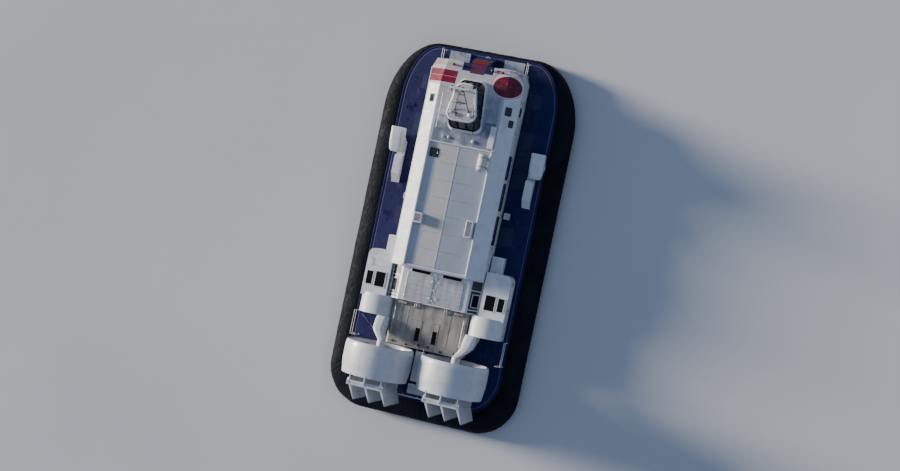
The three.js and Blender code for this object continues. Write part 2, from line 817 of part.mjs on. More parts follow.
function engineBlock(sign) {
  const { inner, outer, front, rear, height } = ENGINE;
  return box([sign * inner, sign * outer], [front, rear], [DECK + GAP, DECK + GAP + height]);
}

function aftCasing() {
  const { halfWidth: half, rear, top, chamfer, slotX, slotHalf, slotDepth } = AFT_CASING;
  const outline = [
    [-half, DECK + GAP], [half, DECK + GAP], [half, top - chamfer],
    [half - chamfer, top], [-half + chamfer, top], [-half, top - chamfer],
  ];
  const slots = SIDES.map(({ sign }) => box(
    [sign * slotX - slotHalf, sign * slotX + slotHalf],
    [AFT_SLOT.front, AFT_SLOT.rear], [top - slotDepth, top + slotDepth]));
  return cut(prism('y', outline, ENGINE_CASING.rear + GAP, rear), slots);
}

function liftHousing(sign) {
  const { inner, outer, front, top, wall, voluteInner, voluteFront, axisX, axisZ, crownRise } = LIFT;
  const deck = DECK + GAP;
  const across = (from, to) => [sign * from, sign * to];
  const radius = (outer - voluteInner) / 2;
  const crown = arcPoints([voluteInner + radius, axisZ], { x: radius, y: crownRise }, 0, 180, 16);
  const voluteOutline = [[voluteInner, deck], [outer, deck], ...crown].map(([a, b]) => [sign * a, b]);
  const volute = prism('y', voluteOutline, voluteFront, LIFT.rear);
  const locker = box(
    across(LOCKER.inner, LOCKER.outer), [LOCKER.front, front + LIFT.bury], [deck, deck + LOCKER.height]);
  const { bury, corner } = LIFT;
  const bend = [outer - corner, front + corner];
  const bodyPlan = [
    [outer, voluteFront + bury], [inner, voluteFront + bury], [inner, front],
    ...arcPoints(bend, { x: corner, y: corner }, 270, 360, 6),
  ].map(([a, b]) => [sign * a, b]);
  const body = prism('z', bodyPlan, deck, top);
  const plenum = box(
    across(inner + wall, outer - wall), [LIFT.plenumFront, voluteFront], [deck + LIFT.floor, top - wall]);
  const inlets = LIFT_INLETS.map((hole) => box(
    across(hole.inner, hole.outer), [hole.front, hole.rear], [top - 2 * wall, top + wall]));
  const axis = (y) => [sign * axisX, y, axisZ];
  const bore = rod(axis(voluteFront - wall), axis(LIFT.boreRear), LIFT.boreRadius, 32);
  const boss = rod(axis(LIFT.bossFront), axis(LIFT.boreRear + wall), LIFT.bossRadius, 16);
  return join(cut(join(volute, locker, body), plenum, inlets, bore), boss);
}

// The fan's own origin is the front of its bearing boss
function liftFan() {
  const { radius, front, rear, shaft, shaftFront, eye, blades, bladeInner, bladeHalf, plate } = LIFT_FAN;
  const rim = cut(
    rod([0, front, 0], [0, front + plate, 0], radius, 32),
    rod([0, front - plate, 0], [0, front + 2 * plate, 0], eye, 32));
  const solids = [
    rod([0, rear - plate, 0], [0, rear, 0], radius, 32),
    rod([0, shaftFront, 0], [0, -RUNNING_GAP, 0], shaft, 16),
    rim,
  ];
  for (let i = 0; i < blades; i += 1) {
    const along = [front + plate / 2, rear - plate / 2];
    const blade = box([bladeInner, radius - plate], along, [-bladeHalf, bladeHalf]);
    solids.push(blade.rotate([0, (360 * i) / blades, 0]));
  }
  return join(solids);
}

function driveFairing(sign) {
  return loft(DRIVE_FAIRING.map(({ y, inner, outer, bottom, top }) => [
    [inner, bottom], [outer, bottom],
    [outer, top - FAIRING_CHAMFER], [outer - FAIRING_CHAMFER, top],
    [inner + FAIRING_CHAMFER, top], [inner, top - FAIRING_CHAMFER],
  ].map(([x, z]) => [sign * x, y, z])));
}

// Propulsion, built about the duct's own axis and moved to its place
function ductShell() {
  const profile = [...DUCT_SECTION, DUCT_SECTION[0]].map(({ r, y }) => new THREE.Vector2(r, y));
  const geometry = new THREE.LatheGeometry(profile, DUCT.segments);
  geometry.translate(0, DUCT.front, 0);
  return solidOf(geometry);
}

function duct() {
  const axis = (y) => [0, y, 0];
  const { halfWidth, front, rear, top } = DUCT_FOOT;
  const foot = box([-halfWidth, halfWidth], [front, rear], [DECK + GAP - DUCT.z, top - DUCT.z]);
  const nacelle = rod(axis(NACELLE.front), axis(NACELLE.rear), NACELLE.radius, NACELLE.sides);
  const struts = Array.from({ length: STRUT.count }, (unused, i) => box(
    [STRUT.inner, STRUT.outer], [STRUT.front, STRUT.rear], [-STRUT.halfThickness, STRUT.halfThickness],
  ).rotate([0, 45 + (360 * i) / STRUT.count, 0]));
  const { thickness, clearance, overhang, bracketHalf, bracketReach, inset } = RUDDER_BAR;
  const bars = [
    [RUDDER.bottom - clearance - thickness, RUDDER.bottom - clearance],
    [RUDDER.top + clearance, RUDDER.top + clearance + thickness],
  ].flatMap((z, row) => {
    const height = [z[0] - DUCT.z, z[1] - DUCT.z];
    const outward = row === 0 ? -bracketReach : bracketReach;
    const inside = [height[0] + inset, height[1] - inset];
    const centreHeight = [Math.min(inside[0], inside[0] + outward), Math.max(inside[1], inside[1] + outward)];
    const bracketRun = [DUCT.rear - 120, (RUDDER_BAR.front + RUDDER_BAR.rear) / 2];
    return [
      box([-overhang, overhang], [RUDDER_BAR.front, RUDDER_BAR.rear], height),
      box([-bracketHalf, bracketHalf], bracketRun, centreHeight),
      ...SIDES.map(({ sign }) => box(
        [sign * RUDDER.spacing - bracketHalf, sign * RUDDER.spacing + bracketHalf], bracketRun, inside)),
    ];
  });
  return join(ductShell(), foot, nacelle, struts, bars);
}

function bladeRing({ r, chord, thickness, pitch }) {
  const outline = [[-0.5, 0], [-0.25, 0.5], [0.2, 0.4], [0.5, 0], [0.2, -0.4], [-0.25, -0.5]];
  const angle = THREE.MathUtils.degToRad(pitch);
  return outline.map(([along, across]) => {
    const [a, b] = [along * chord, across * thickness];
    return [a * Math.cos(angle) - b * Math.sin(angle), a * Math.sin(angle) + b * Math.cos(angle), r];
  });
}

// The propeller's own origin is the rear face of the nacelle
function propeller() {
  const { hub, blades, hubRear, spinner } = PROPELLER;
  const profile = [
    [0, RUNNING_GAP], [hub, RUNNING_GAP], [hub, hubRear], [0.8 * hub, 0.6 * hubRear + 0.4 * spinner],
    [0.4 * hub, 0.1 * hubRear + 0.9 * spinner], [0, spinner],
  ].map(([r, y]) => new THREE.Vector2(r, y));
  const body = solidOf(new THREE.LatheGeometry(profile, 20));
  const blade = loft(BLADE_SECTIONS.map(bladeRing)).translate([0, 0.55 * hubRear, 0]);
  const set = Array.from({ length: blades }, (unused, i) => blade.rotate([0, (360 * i) / blades, 0]));
  return join(body, set);
}

// The rudder's own origin is its hinge line at duct-axis height
function rudder() {
  const { ahead, behind, bottom, top, halfThickness, pinRadius, pinClearance } = RUDDER;
  const outline = [
    [0, -ahead], [0.75 * halfThickness, -0.8 * ahead], [halfThickness, -0.2 * ahead],
    [0.7 * halfThickness, 0.5 * behind], [6, behind], [-6, behind],
    [-0.7 * halfThickness, 0.5 * behind], [-halfThickness, -0.2 * ahead],
    [-0.75 * halfThickness, -0.8 * ahead],
  ];
  const [low, high] = [bottom - DUCT.z, top - DUCT.z];
  const reach = RUDDER_BAR.clearance - pinClearance;
  const pin = rod([0, 0, low - reach], [0, 0, high + reach], pinRadius, 12);
  return join(prism('z', outline, low, high), pin);
}

// Bow thrusters
function thrusterFeed(sign) {
  const deck = DECK + GAP;
  const { x, y, baseRadius, baseTop } = THRUSTER;
  const base = rod([sign * x, y, deck], [sign * x, y, baseTop], baseRadius, 28);
  const link = box([sign * FEED.inner, sign * FEED.outer], [y, FEED.front + 200], [deck, FEED.link]);
  const trunk = prism('x', [
    [FEED.front, deck], [FEED.rear, deck],
    [FEED.rear, deck + FEED.chamfer], [FEED.rear - FEED.slope, FEED.top],
    [FEED.front + FEED.chamfer, FEED.top], [FEED.front, FEED.top - FEED.chamfer],
  ], sign * FEED.inner, sign * FEED.outer);
  return join(base, link, trunk);
}

// The nozzle's own origin is on its vertical axis at the top of its turntable
function bowThruster() {
  const { halfWidth, halfLength, baseTop, lift, top, mouthDepth, mouthWall, round, bevel, chin } = THRUSTER;
  const height = top - baseTop;
  const past = 1;
  const plan = [
    ...arcPoints([halfWidth - round, halfLength - round], { x: round, y: round }, 0, 90, 4),
    ...arcPoints([round - halfWidth, halfLength - round], { x: round, y: round }, 90, 180, 4),
    [bevel - halfWidth, -halfLength], [halfWidth - bevel, -halfLength],
  ];
  const body = prism('z', plan, lift, height);
  const crownCut = prism('x', [
    [0, height + past], [halfLength + past, height - round], [halfLength + past, height + past],
  ], -2 * halfWidth, 2 * halfWidth);
  const chinCut = prism('x', [
    [-halfLength - past, lift - past], [-halfLength - past, lift + chin],
    [-THRUSTER.chinStart * halfLength, lift - past],
  ], -2 * halfWidth, 2 * halfWidth);
  const mouthHalf = halfWidth - mouthWall - bevel;
  const mouth = box(
    [-mouthHalf, mouthHalf], [-halfLength - past, mouthDepth - halfLength],
    [THRUSTER.mouthBottom - baseTop, height - mouthWall]);
  const pivot = rod([0, 0, RUNNING_GAP], [0, 0, lift + bevel], THRUSTER.pivotRadius, 16);
  return join(cut(body, crownCut, chinCut, mouth), pivot);
}

// The assembly
const craft = new THREE.Group();
craft.name = 'hovercraft';

function geometryOf(solid) {
  const { vertProperties, triVerts } = solid.getMesh();
  const geometry = new THREE.BufferGeometry();
  geometry.setAttribute('position', new THREE.BufferAttribute(vertProperties, 3));
  geometry.setIndex(new THREE.BufferAttribute(triVerts, 1));
  geometry.computeVertexNormals();
  return geometry;
}

function place(name, solid, colour, position = [0, 0, 0], turnDegrees = 0) {
  const mesh = new THREE.Mesh(geometryOf(solid), new THREE.MeshStandardMaterial(COLOURS[colour]));
  mesh.name = name;
  mesh.position.set(...position);
  mesh.rotation.z = THREE.MathUtils.degToRad(turnDegrees);
  craft.add(mesh);
}

place('hull', hull(), 'navy');
Object.entries(skirtPieces()).forEach(([name, solid]) => place(name, solid, 'skirt'));
place('cabin_front', cabinFront(), 'white');
place('cabin_rear', cabinRear(), 'white');
place('cabin_roof', cabinRoof(), 'white');
place('roof_hatch', roofHatch(), 'dark');
place('nose_fairing', noseFairing(), 'red');
place('pilothouse_walls', pilothouseWalls(), 'white');
place('pilothouse_glass', pilothouseGlass(), 'glass');
place('pilothouse_roof', pilothouseRoof(), 'white');
place('pilot_station', pilotStation(), 'dark');
place('mast', mast(), 'white');
place('radar_scanner', radarScanner(), 'white', [0, SCANNER.y, MAST.platform.z]);
place('engine_casing', engineCasing(), 'white');
place('aft_casing', aftCasing(), 'casing');

const ductSolid = duct();
const propellerSolid = propeller();
const rudderSolid = rudder();
const fanSolid = liftFan();
const thrusterSolid = bowThruster();

SIDES.forEach((side) => {
  const { name, sign } = side;
  place(`landing_skid_${name}`, landingSkid(sign), 'dark');
  place(`cabin_side_${name}`, sideWall(sign), 'white');
  place(`side_glass_${name}`, sideGlass(sign), 'glass');
  place(`seats_${name}`, passengerSeats(sign), 'cloth');
  place(`side_door_${name}`, sideDoor(sign), 'white');
  place(`front_door_${name}`, frontDoor(sign), 'white');
  place(`boarding_ramp_${name}`, boardingRamp(sign), 'steel');
  place(`roof_vent_${name}`, roofVent(side), 'white');
  place(`engine_hatch_${name}`, engineHatch(sign), 'casing');
  place(`engine_${name}`, engineBlock(sign), 'dark');
  place(`lift_housing_${name}`, liftHousing(sign), 'white');
  place(`lift_fan_${name}`, fanSolid, 'steel', [sign * LIFT.axisX, LIFT.bossFront, LIFT.axisZ]);
  place(`drive_fairing_${name}`, driveFairing(sign), 'white');
  const ductX = sign * DUCT.x;
  place(`duct_${name}`, ductSolid, 'white', [ductX, 0, DUCT.z]);
  place(`propeller_${name}`, propellerSolid, 'dark', [ductX, NACELLE.rear, DUCT.z]);
  [-1, 0, 1].forEach((step, i) => {
    const hinge = [ductX + step * RUDDER.spacing, RUDDER.hinge, DUCT.z];
    place(`rudder_${name}_${i + 1}`, rudderSolid, 'white', hinge, RUDDER.restAngle);
  });
  place(`thruster_feed_${name}`, thrusterFeed(sign), 'white');
  place(`bow_thruster_${name}`, thrusterSolid, 'white', [sign * THRUSTER.x, THRUSTER.y, THRUSTER.baseTop]);
});

export default craft;
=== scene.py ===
import bisect
import itertools
import math
import random

import bmesh
import bpy
from mathutils import Matrix, Vector, noise


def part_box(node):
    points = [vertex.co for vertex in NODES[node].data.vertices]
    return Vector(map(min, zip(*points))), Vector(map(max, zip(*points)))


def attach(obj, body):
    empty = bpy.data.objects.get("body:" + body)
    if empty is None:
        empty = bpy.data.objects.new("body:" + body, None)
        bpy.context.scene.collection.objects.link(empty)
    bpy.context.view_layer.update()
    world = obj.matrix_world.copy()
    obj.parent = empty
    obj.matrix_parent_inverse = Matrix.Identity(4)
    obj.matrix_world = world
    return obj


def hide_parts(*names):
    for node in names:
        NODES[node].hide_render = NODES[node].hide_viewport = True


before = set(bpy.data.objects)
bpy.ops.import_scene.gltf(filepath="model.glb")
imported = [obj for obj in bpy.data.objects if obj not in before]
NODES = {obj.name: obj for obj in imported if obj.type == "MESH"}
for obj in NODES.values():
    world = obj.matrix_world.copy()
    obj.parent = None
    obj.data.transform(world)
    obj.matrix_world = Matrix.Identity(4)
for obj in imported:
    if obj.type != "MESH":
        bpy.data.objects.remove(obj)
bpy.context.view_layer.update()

SIDES = (("port", 1), ("starboard", -1))
PAD_RISE = 0.04  # the lifting pads stand this far above the deck
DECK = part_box("hull")[1].z - PAD_RISE
UP = (0, 0, 1)
AFT = (0, 1, 0)
SUNK = 0.002  # how far a fitting reaches into what it stands on
PLATE_BEVEL = 0.003
THIN = 1e-4  # the least radius of a turned shape, at its poles


# Shapes

def circle(count):
    """The angles of equal steps all the way round."""
    return [2 * math.pi * k / count for k in range(count)]


def inserted(pair, axis, level):
    """A point from its level along one axis and its other two coordinates, in the order X, Y, Z."""
    point = list(pair)
    point.insert(axis, level)
    return tuple(point)


def shifted(point, by):
    return tuple(a + b for a, b in zip(point, by))


class Shape:
    """The points and faces of one piece, and for each face the index of its finish."""

    def __init__(self):
        self.points = []
        self.faces = []
        self.finishes = []

    def add(self, points, faces, finishes):
        start = len(self.points)
        self.points += [tuple(p) for p in points]
        self.faces += [[start + i for i in face] for face in faces]
        self.finishes += finishes

    def take(self, other, *moves):
        """Copies another shape in, once for each matrix."""
        for move in moves:
            self.add([move @ Vector(p) for p in other.points], other.faces, other.finishes)
        return self

    def loft(self, rings, finish=0, caps=True, loop=False):
        """Joins rings that have equally many points."""
        count = len(rings[0])
        steps = len(rings) if loop else len(rings) - 1
        faces = []
        for i in range(steps):
            a, b = i * count, (i + 1) % len(rings) * count
            for j in range(count):
                k = (j + 1) % count
                faces.append([a + j, a + k, b + k, b + j])
        if caps and not loop:
            faces.append(list(range(count)))
            faces.append([(len(rings) - 1) * count + j for j in range(count)])
        self.add([p for ring in rings for p in ring], faces, [finish] * len(faces))

    def block(self, lo, hi, finish=0, bevel=0.006):
        """A box with chamfered edges between two opposite corners."""
        lo, hi = [Vector([pick(a, b) for a, b in zip(lo, hi)]) for pick in (min, max)]
        bevel = min(bevel, 0.4 * min(hi - lo))
        corners = list(itertools.product((0, 1), repeat=3))
        index, points = {}, []
        for axis, signs in itertools.product(range(3), corners):
            index[axis, signs] = len(points)
            points.append([
                (hi[k] if signs[k] else lo[k]) + (0 if k == axis else bevel * (1 - 2 * signs[k]))
                for k in range(3)])
        faces = [[index[axis, signs] for axis in range(3)] for signs in corners]
        for axis in range(3):
            a, b = [k for k in range(3) if k != axis]
            for end in (0, 1):
                loop = ((0, 0), (0, 1), (1, 1), (1, 0))
                faces.append([index[axis, inserted(pair, axis, end)] for pair in loop])
            for pair in itertools.product((0, 1), repeat=2):
                low, high = [inserted(pair, axis, end) for end in (0, 1)]
                faces.append([index[a, low], index[a, high], index[b, high], index[b, low]])
        self.add(points, faces, [finish] * len(faces))

    def tube(self, path, radius, finish=0, sides=8, loop=False):
        """A round tube along a path of points."""
        path = [Vector(p) for p in path]
        rings = []
        across = None
        for i, here in enumerate(path):
            before = path[i - 1] if i or loop else here
            after = path[(i + 1) % len(path)] if i + 1 < len(path) or loop else here
            along = (after - before).normalized()
            if across is None:
                across = along.orthogonal().normalized()
            across = (across - along * across.dot(along)).normalized()
            up = along.cross(across)
            rings.append([here + radius * (math.cos(t) * across + math.sin(t) * up) for t in circle(sides)])
        self.loft(rings, finish, loop=loop)

    def handle(self, start, end, out, radius, finish=0):
        """A bent bar that leaves its surface at start, runs level and comes back at end."""
        self.tube([start, shifted(start, out), shifted(end, out), end], radius, finish)

    def lathe(self, profile, start, along, finish, sides):
        """Turns (radius, distance) pairs round the axis that leaves start in the direction along."""
        start, along = Vector(start), Vector(along).normalized()
        across = along.orthogonal().normalized()
        up = along.cross(across)
        spokes = [math.cos(t) * across + math.sin(t) * up for t in circle(sides)]
        rings = [[start + along * d + max(r, THIN) * spoke for spoke in spokes] for r, d in profile]
        self.loft(rings, finish)

    def knob(self, start, foot, shoulder, height, along=UP, finish=0, sides=8):
        """A small round head: radius at the foot, (radius, height) at the shoulder, and its height."""
        self.lathe([(0, 0), (foot, 0), shoulder, (0, height)], start, along, finish, sides)

    def prism(self, outline, axis, lo, hi, finish=0):
        """An outline in the other two axes, in the order X, Y, Z, drawn out along one axis."""
        self.loft([[inserted(pair, axis, level) for pair in outline] for level in (lo, hi)], finish)

    def swage(self, y, level, foot, crest, height, span):
        """A low ridge across a flat top: half widths at its foot and crest, height and X limits."""
        outline = [(y - foot, level - SUNK), (y - crest, level + height), (y + crest, level + height),
                   (y + foot, level - SUNK)]
        self.prism(outline, 0, *span)

    def strap(self, ends, across, away, section):
        """A strip from one place to another, its section given as (across, away) pairs."""
        self.loft([[p + away * h + across * s for s, h in section] for p in ends])


def piece(name, shape, finishes, body="root", replaces=(), crease=35):
    """Makes one object from a shape, and lets it ride on its body."""
    mesh = bpy.data.meshes.new(name)
    mesh.from_pydata(shape.points, [], shape.faces)
    for finish in finishes:
        mesh.materials.append(finish)
    mesh.polygons.foreach_set("material_index", shape.finishes)
    mesh.polygons.foreach_set("use_smooth", [True] * len(shape.faces))
    work = bmesh.new()
    work.from_mesh(mesh)
    bmesh.ops.recalc_face_normals(work, faces=work.faces)
    work.to_mesh(mesh)
    work.free()
    mesh.set_sharp_from_angle(angle=math.radians(crease))
    thing = bpy.data.objects.new(name, mesh)
    bpy.context.scene.collection.objects.link(thing)
    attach(thing, body)
    if replaces:
        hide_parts(*replaces)
    return thing


def moved(x, y, z, turn=0.0):
    """A matrix that turns by degrees about Z and then moves."""
    return Matrix.Translation((x, y, z)) @ Matrix.Rotation(math.radians(turn), 4, "Z")


def arc(centre, radius, start, end, steps):
    """Points on a circle or, with a pair of radii, an ellipse. Angles in degrees."""
    rx, ry = radius if isinstance(radius, tuple) else (radius, radius)
    turns = [math.radians(start + (end - start) * i / steps) for i in range(steps + 1)]
    return [(centre[0] + rx * math.cos(t), centre[1] + ry * math.sin(t)) for t in turns]


def spread(start, end, count):
    """Evenly spaced numbers from start to end."""
    return [start + (end - start) * i / (count - 1) for i in range(count)]


def width(sign, near, far):
    """The X limits, lower first, of what lies between two distances from the middle on one side."""
    return sorted((sign * near, sign * far))


def bolt(radius=0.014, height=0.012):
    """A hexagon head on a washer, standing on its own origin."""
    shape = Shape()
    washer = 0.3 * height
    shape.lathe([(0, 0), (1.5 * radius, 0), (1.5 * radius, washer), (0, washer)], (0, 0, 0), UP, 0, 10)
    shape.lathe([(0, washer), (radius, washer), (0.9 * radius, height), (0, height)], (0, 0, 0), UP, 0, 6)
    return shape


def rounded(lo, hi, corner, grow, steps=4):
    """A rectangle with round corners, made larger on every side by grow."""
    x0, y0, x1, y1 = lo[0] + corner, lo[1] + corner, hi[0] - corner, hi[1] - corner
    radius = max(corner + grow, 0.001)
    corners = [((x1, y1), 0), ((x0, y1), 90), ((x0, y0), 180), ((x1, y0), 270)]
    return [p for centre, start in corners for p in arc(centre, radius, start, start + 90, steps)]


def rim(shape, lo, hi, to, profile, finish=0, corner=0.06):
    """A ring round a rectangle, its section in (grow, height) pairs, laid out by to(a, b, height)."""
    shape.loft([[to(*p, h) for p in rounded(lo, hi, corner, g)] for g, h in profile], finish, loop=True)


def plate(shape, lo, hi, to, height, finish, corner=0.02):
    """A flat plate with round corners and a chamfered edge."""
    levels = [(0, -SUNK), (0, height - PLATE_BEVEL), (-PLATE_BEVEL, height)]
    shape.loft([[to(*p, h) for p in rounded(lo, hi, corner, g)] for g, h in levels], finish)


def upright(level):
    """Lays a plan out at a height."""
    return lambda a, b, h: (a, b, level + h)


def sideways(face, sign):
    """Lays (along, up) out on a wall that faces port or starboard."""
    return lambda a, b, h: (face + sign * h, a, b)


def endways(face, sign):
    """Lays (across, up) out on a wall that faces the bow or the stern."""
    return lambda a, b, h: (a, face + sign * h, b)


def slope_from(origin, down, away):
    """Lays (down the slope, along Y) out on a plane that slopes to the side."""
    return lambda a, b, h: origin + down * a + Vector((0, b, 0)) + away * h


# Finishes

def shade(colour, share):
    return [c * share for c in colour]


class Finish:
    """A node material whose textures lie in the object's own metres."""

    def __init__(self, name, roughness=0.5, **sockets):
        self.material = bpy.data.materials.new(name)
        self.material.use_nodes = True
        self.tree = self.material.node_tree
        self.shader = self.tree.nodes["Principled BSDF"]
        self.shader.inputs["Roughness"].default_value = roughness
        for socket, value in sockets.items():
            self.shader.inputs[socket.replace("_", " ")].default_value = value
        self.place = self.node("ShaderNodeTexCoord").outputs["Object"]

    def node(self, kind, values=(), **settings):
        made = self.tree.nodes.new(kind)
        for key, value in settings.items():
            setattr(made, key, value)
        for key, value in dict(values).items():
            if isinstance(value, bpy.types.NodeSocket):
                self.tree.links.new(value, made.inputs[key])
            else:
                made.inputs[key].default_value = value
        return made

    def math(self, operation, a, b=0.0):
        return self.node("ShaderNodeMath", {0: a, 1: b}, operation=operation).outputs[0]

    def times(self, a, b):
        return self.math("MULTIPLY", a, b)

    def inverse(self, value):
        """0 where the value is 1, and 1 where it is 0."""
        return self.math("SUBTRACT", 1.0, value)

    def stretched(self, stretch):
        return self.node("ShaderNodeMapping", {"Vector": self.place, "Scale": stretch}).outputs[0]

    def along(self, axis):
        return self.node("ShaderNodeSeparateXYZ", {0: self.place}).outputs[axis]

    def facing(self, axis):
        """How far the surface faces along an axis, from -1 to 1."""
        normal = self.node("ShaderNodeNewGeometry").outputs["Normal"]
        return self.node("ShaderNodeSeparateXYZ", {0: normal}).outputs[axis]

    def ramp(self, value, low, high):
        """0 below low, 1 above high, smooth between."""
        made = self.node("ShaderNodeMapRange", {"Value": value, "From Min": low, "From Max": high})
        made.interpolation_type = "SMOOTHSTEP"
        return made.outputs[0]

    def grain(self, scale, low=0.0, high=1.0, detail=4.0, stretch=(1, 1, 1)):
        """Noise with its range low to high spread over 0 to 1."""
        values = {"Vector": self.stretched(stretch), "Scale": scale, "Detail": detail}
        made = self.node("ShaderNodeTexNoise", values)
        return self.ramp(made.outputs["Fac"], low, high)

    def clouds(self, scale):
        """Noise that is as often near 0 as near 1."""
        return self.grain(scale, 0.3, 0.7)

    def cells(self, scale):
        return self.node("ShaderNodeTexVoronoi", {"Vector": self.place, "Scale": scale}).outputs["Distance"]

    def tiles(self, size):
        """A level from 0 to 1 that differs from one tile of this size to the next."""
        shrunk = self.stretched([1 / s for s in size])
        whole = self.node("ShaderNodeVectorMath", {0: shrunk}, operation="FLOOR").outputs[0]
        return self.node("ShaderNodeTexWhiteNoise", {"Vector": whole}).outputs["Value"]

    def mix(self, factor, a, b):
        """The colour a where the factor is 0, and b where it is 1."""
        made = self.node("ShaderNodeMix", {0: factor}, data_type="RGBA")
        for key, value in ((6, a), (7, b)):
            if isinstance(value, bpy.types.NodeSocket):
                self.tree.links.new(value, made.inputs[key])
            else:
                made.inputs[key].default_value = (*value, 1)
        return made.outputs[2]

    def band(self, axis, low, high, soft=0.012):
        """1 where the place along an axis lies between two limits."""
        value = self.along(axis)
        above = self.ramp(value, low - soft, low + soft)
        return self.times(above, self.inverse(self.ramp(value, high - soft, high + soft)))

    def patch(self, x, y):
        return self.times(self.band(0, *x), self.band(1, *y))

    def disc(self, centre, radii, soft=0.02):
        """1 inside an upright elliptic cylinder."""
        squares = []
        for axis in (0, 1):
            value = self.math("DIVIDE", self.math("SUBTRACT", self.along(axis), centre[axis]), radii[axis])
            squares.append(self.times(value, value))
        radius = self.math("SQRT", self.math("ADD", *squares))
        return self.inverse(self.ramp(radius, 1 - soft, 1 + soft))

    def bump(self, *layers):
        """Relief from (height, depth in metres) pairs, the first layer lowest."""
        normal = None
        for height, depth in layers:
            values = {"Height": height, "Distance": depth, "Strength": 1.0}
            if normal:
                values["Normal"] = normal
            normal = self.node("ShaderNodeBump", values).outputs[0]
        self.tree.links.new(normal, self.shader.inputs["Normal"])

    def rough(self, level, share, base):
        """Roughness that rises from its base by a share of a level."""
        value = self.math("ADD", self.times(level, share), base)
        self.tree.links.new(value, self.shader.inputs["Roughness"])

    def done(self, colour):
        self.tree.links.new(colour, self.shader.inputs["Base Color"])
        return self.material


def darken_bays(f, colour, bays):
    """Painted shade inside machinery spaces, near black and mottled like oily unpainted metal, each space given
    by its X, Y and Z limits.
    """
    for x, y, z in bays:
        inside = f.times(f.patch(x, y), f.band(2, *z))
        shaded_oily_tone = f.mix(f.clouds(3), (0.020, 0.021, 0.024), (0.045, 0.043, 0.040))
        colour = f.mix(inside, colour, shaded_oily_tone)
    return colour


def white_paint(name, tint=(0.74, 0.755, 0.77), patches=(), bays=(), top_shade_tint=None, shine=0.5, dirt=1.0):
    """Weathered paint over panels, with patches given as (colour, mask maker) pairs, some of them painted
    sunlight and shade; a tint for faces that look up paints shade on them, and bays are painted dark as shade.
    """
    f = Finish(name, 0.38, Coat_Weight=0.3 * shine, Coat_Roughness=0.25, Specular_IOR_Level=shine)
    colour = f.mix(f.grain(0.5, 0.35, 0.7), tint, shade(tint, 0.9))
    # painted shade: faces that look up turn to the darker, bluer tint
    if top_shade_tint:
        colour = f.mix(f.ramp(f.facing(2), 0.86, 0.95), colour, top_shade_tint)
    colour = f.mix(f.times(f.tiles((1.22, 1.9, 0.9)), 0.35), colour, shade(tint, 0.82))
    streaks = f.grain(2.2, 0.52, 0.72, 5, (3.5, 3.5, 0.25))
    upright_faces = f.inverse(f.math("ABSOLUTE", f.facing(2)))
    streaks = f.times(f.times(streaks, upright_faces), 0.55)
    colour = f.mix(streaks, colour, shade((0.33, 0.32, 0.30), dirt))
    level_faces = f.math("MAXIMUM", f.facing(2), 0.0)
    grime = f.times(f.times(f.grain(1.3, 0.5, 0.74, 8), level_faces), 0.5)
    colour = f.mix(grime, colour, shade((0.44, 0.43, 0.40), dirt))
    for paint, mask in patches:
        # each patch is broken a little by noise: wear on the livery, and soft, uneven edges on the painted
        # sunlight and shade
        patch_cover = f.times(mask(f), f.ramp(f.grain(9, 0.2, 0.45), 0.0, 0.5))
        colour = f.mix(patch_cover, colour, paint)
    colour = f.mix(f.times(f.grain(24, 0.66, 0.72), 0.5), colour, (0.25, 0.22, 0.19))
    colour = darken_bays(f, colour, bays)
    f.rough(f.clouds(3), 0.22, 0.3)
    f.bump((f.grain(0.9, 0.3, 0.7, 2), 0.004), (f.grain(55), 0.0006))
    return f.done(colour)


def navy_paint():
    """Non-slip deck paint above, smoother paint on the hull's sides and grey primer underneath."""
    f = Finish("navy_paint", 0.7, Specular_IOR_Level=0.2)
    colour = f.mix(f.clouds(0.45), (0.007, 0.008, 0.056), (0.013, 0.015, 0.094))
    colour = f.mix(f.times(f.tiles((2.4, 1.8, 9.0)), 0.35), colour, (0.007, 0.009, 0.05))
    salt = f.times(f.grain(2.4, 0.53, 0.75, 9, (1, 0.5, 1)), 0.11)
    colour = f.mix(salt, colour, (0.07, 0.08, 0.15))
    scuffs = f.times(f.grain(14, 0.62, 0.7, 3, (1, 0.2, 1)), 0.5)
    colour = f.mix(scuffs, colour, (0.06, 0.065, 0.12))
    colour = f.mix(f.times(f.grain(220, 0.45, 0.6, 2), 0.3), colour, (0.022, 0.028, 0.10))
    below = f.inverse(f.ramp(f.along(2), 0.3, 0.66))
    colour = f.mix(below, colour, (0.10, 0.105, 0.11))
    f.rough(f.clouds(5), 0.25, 0.5)
    grit = f.times(f.grain(260, 0.4, 0.6, 2), f.ramp(f.facing(2), 0.5, 0.9))
    f.bump((f.grain(0.8, 0.3, 0.7, 2), 0.006), (grit, 0.0015))
    return f.done(colour)


def casing_paint(name, base, soot, amount, bays=()):
    """Paint with exhaust soot blown over it, darker inside the given bays as painted shade."""
    f = Finish(name, 0.62)
    colour = f.mix(f.clouds(0.8), base, shade(base, 0.82))
    colour = f.mix(f.times(f.tiles((0.8, 1.1, 0.7)), 0.3), colour, shade(base, 0.7))
    blown = f.grain(1.1, 0.42, 0.68, 8, (1.6, 0.6, 1))
    colour = f.mix(f.times(blown, amount), colour, soot)
    stains = f.times(f.grain(7, 0.58, 0.7, 6), 0.45 * amount + 0.1)
    colour = f.mix(stains, colour, (0.11, 0.085, 0.065))
    streaks = f.times(f.grain(5, 0.46, 0.66, 5, (1, 0.1, 0.3)), amount)
    colour = f.mix(streaks, colour, (0.17, 0.14, 0.115))
    colour = darken_bays(f, colour, bays)
    f.rough(blown, 0.25, 0.45)
    f.bump((f.grain(1.6, 0.3, 0.7, 2), 0.003), (f.grain(70), 0.0008))
    return f.done(colour)


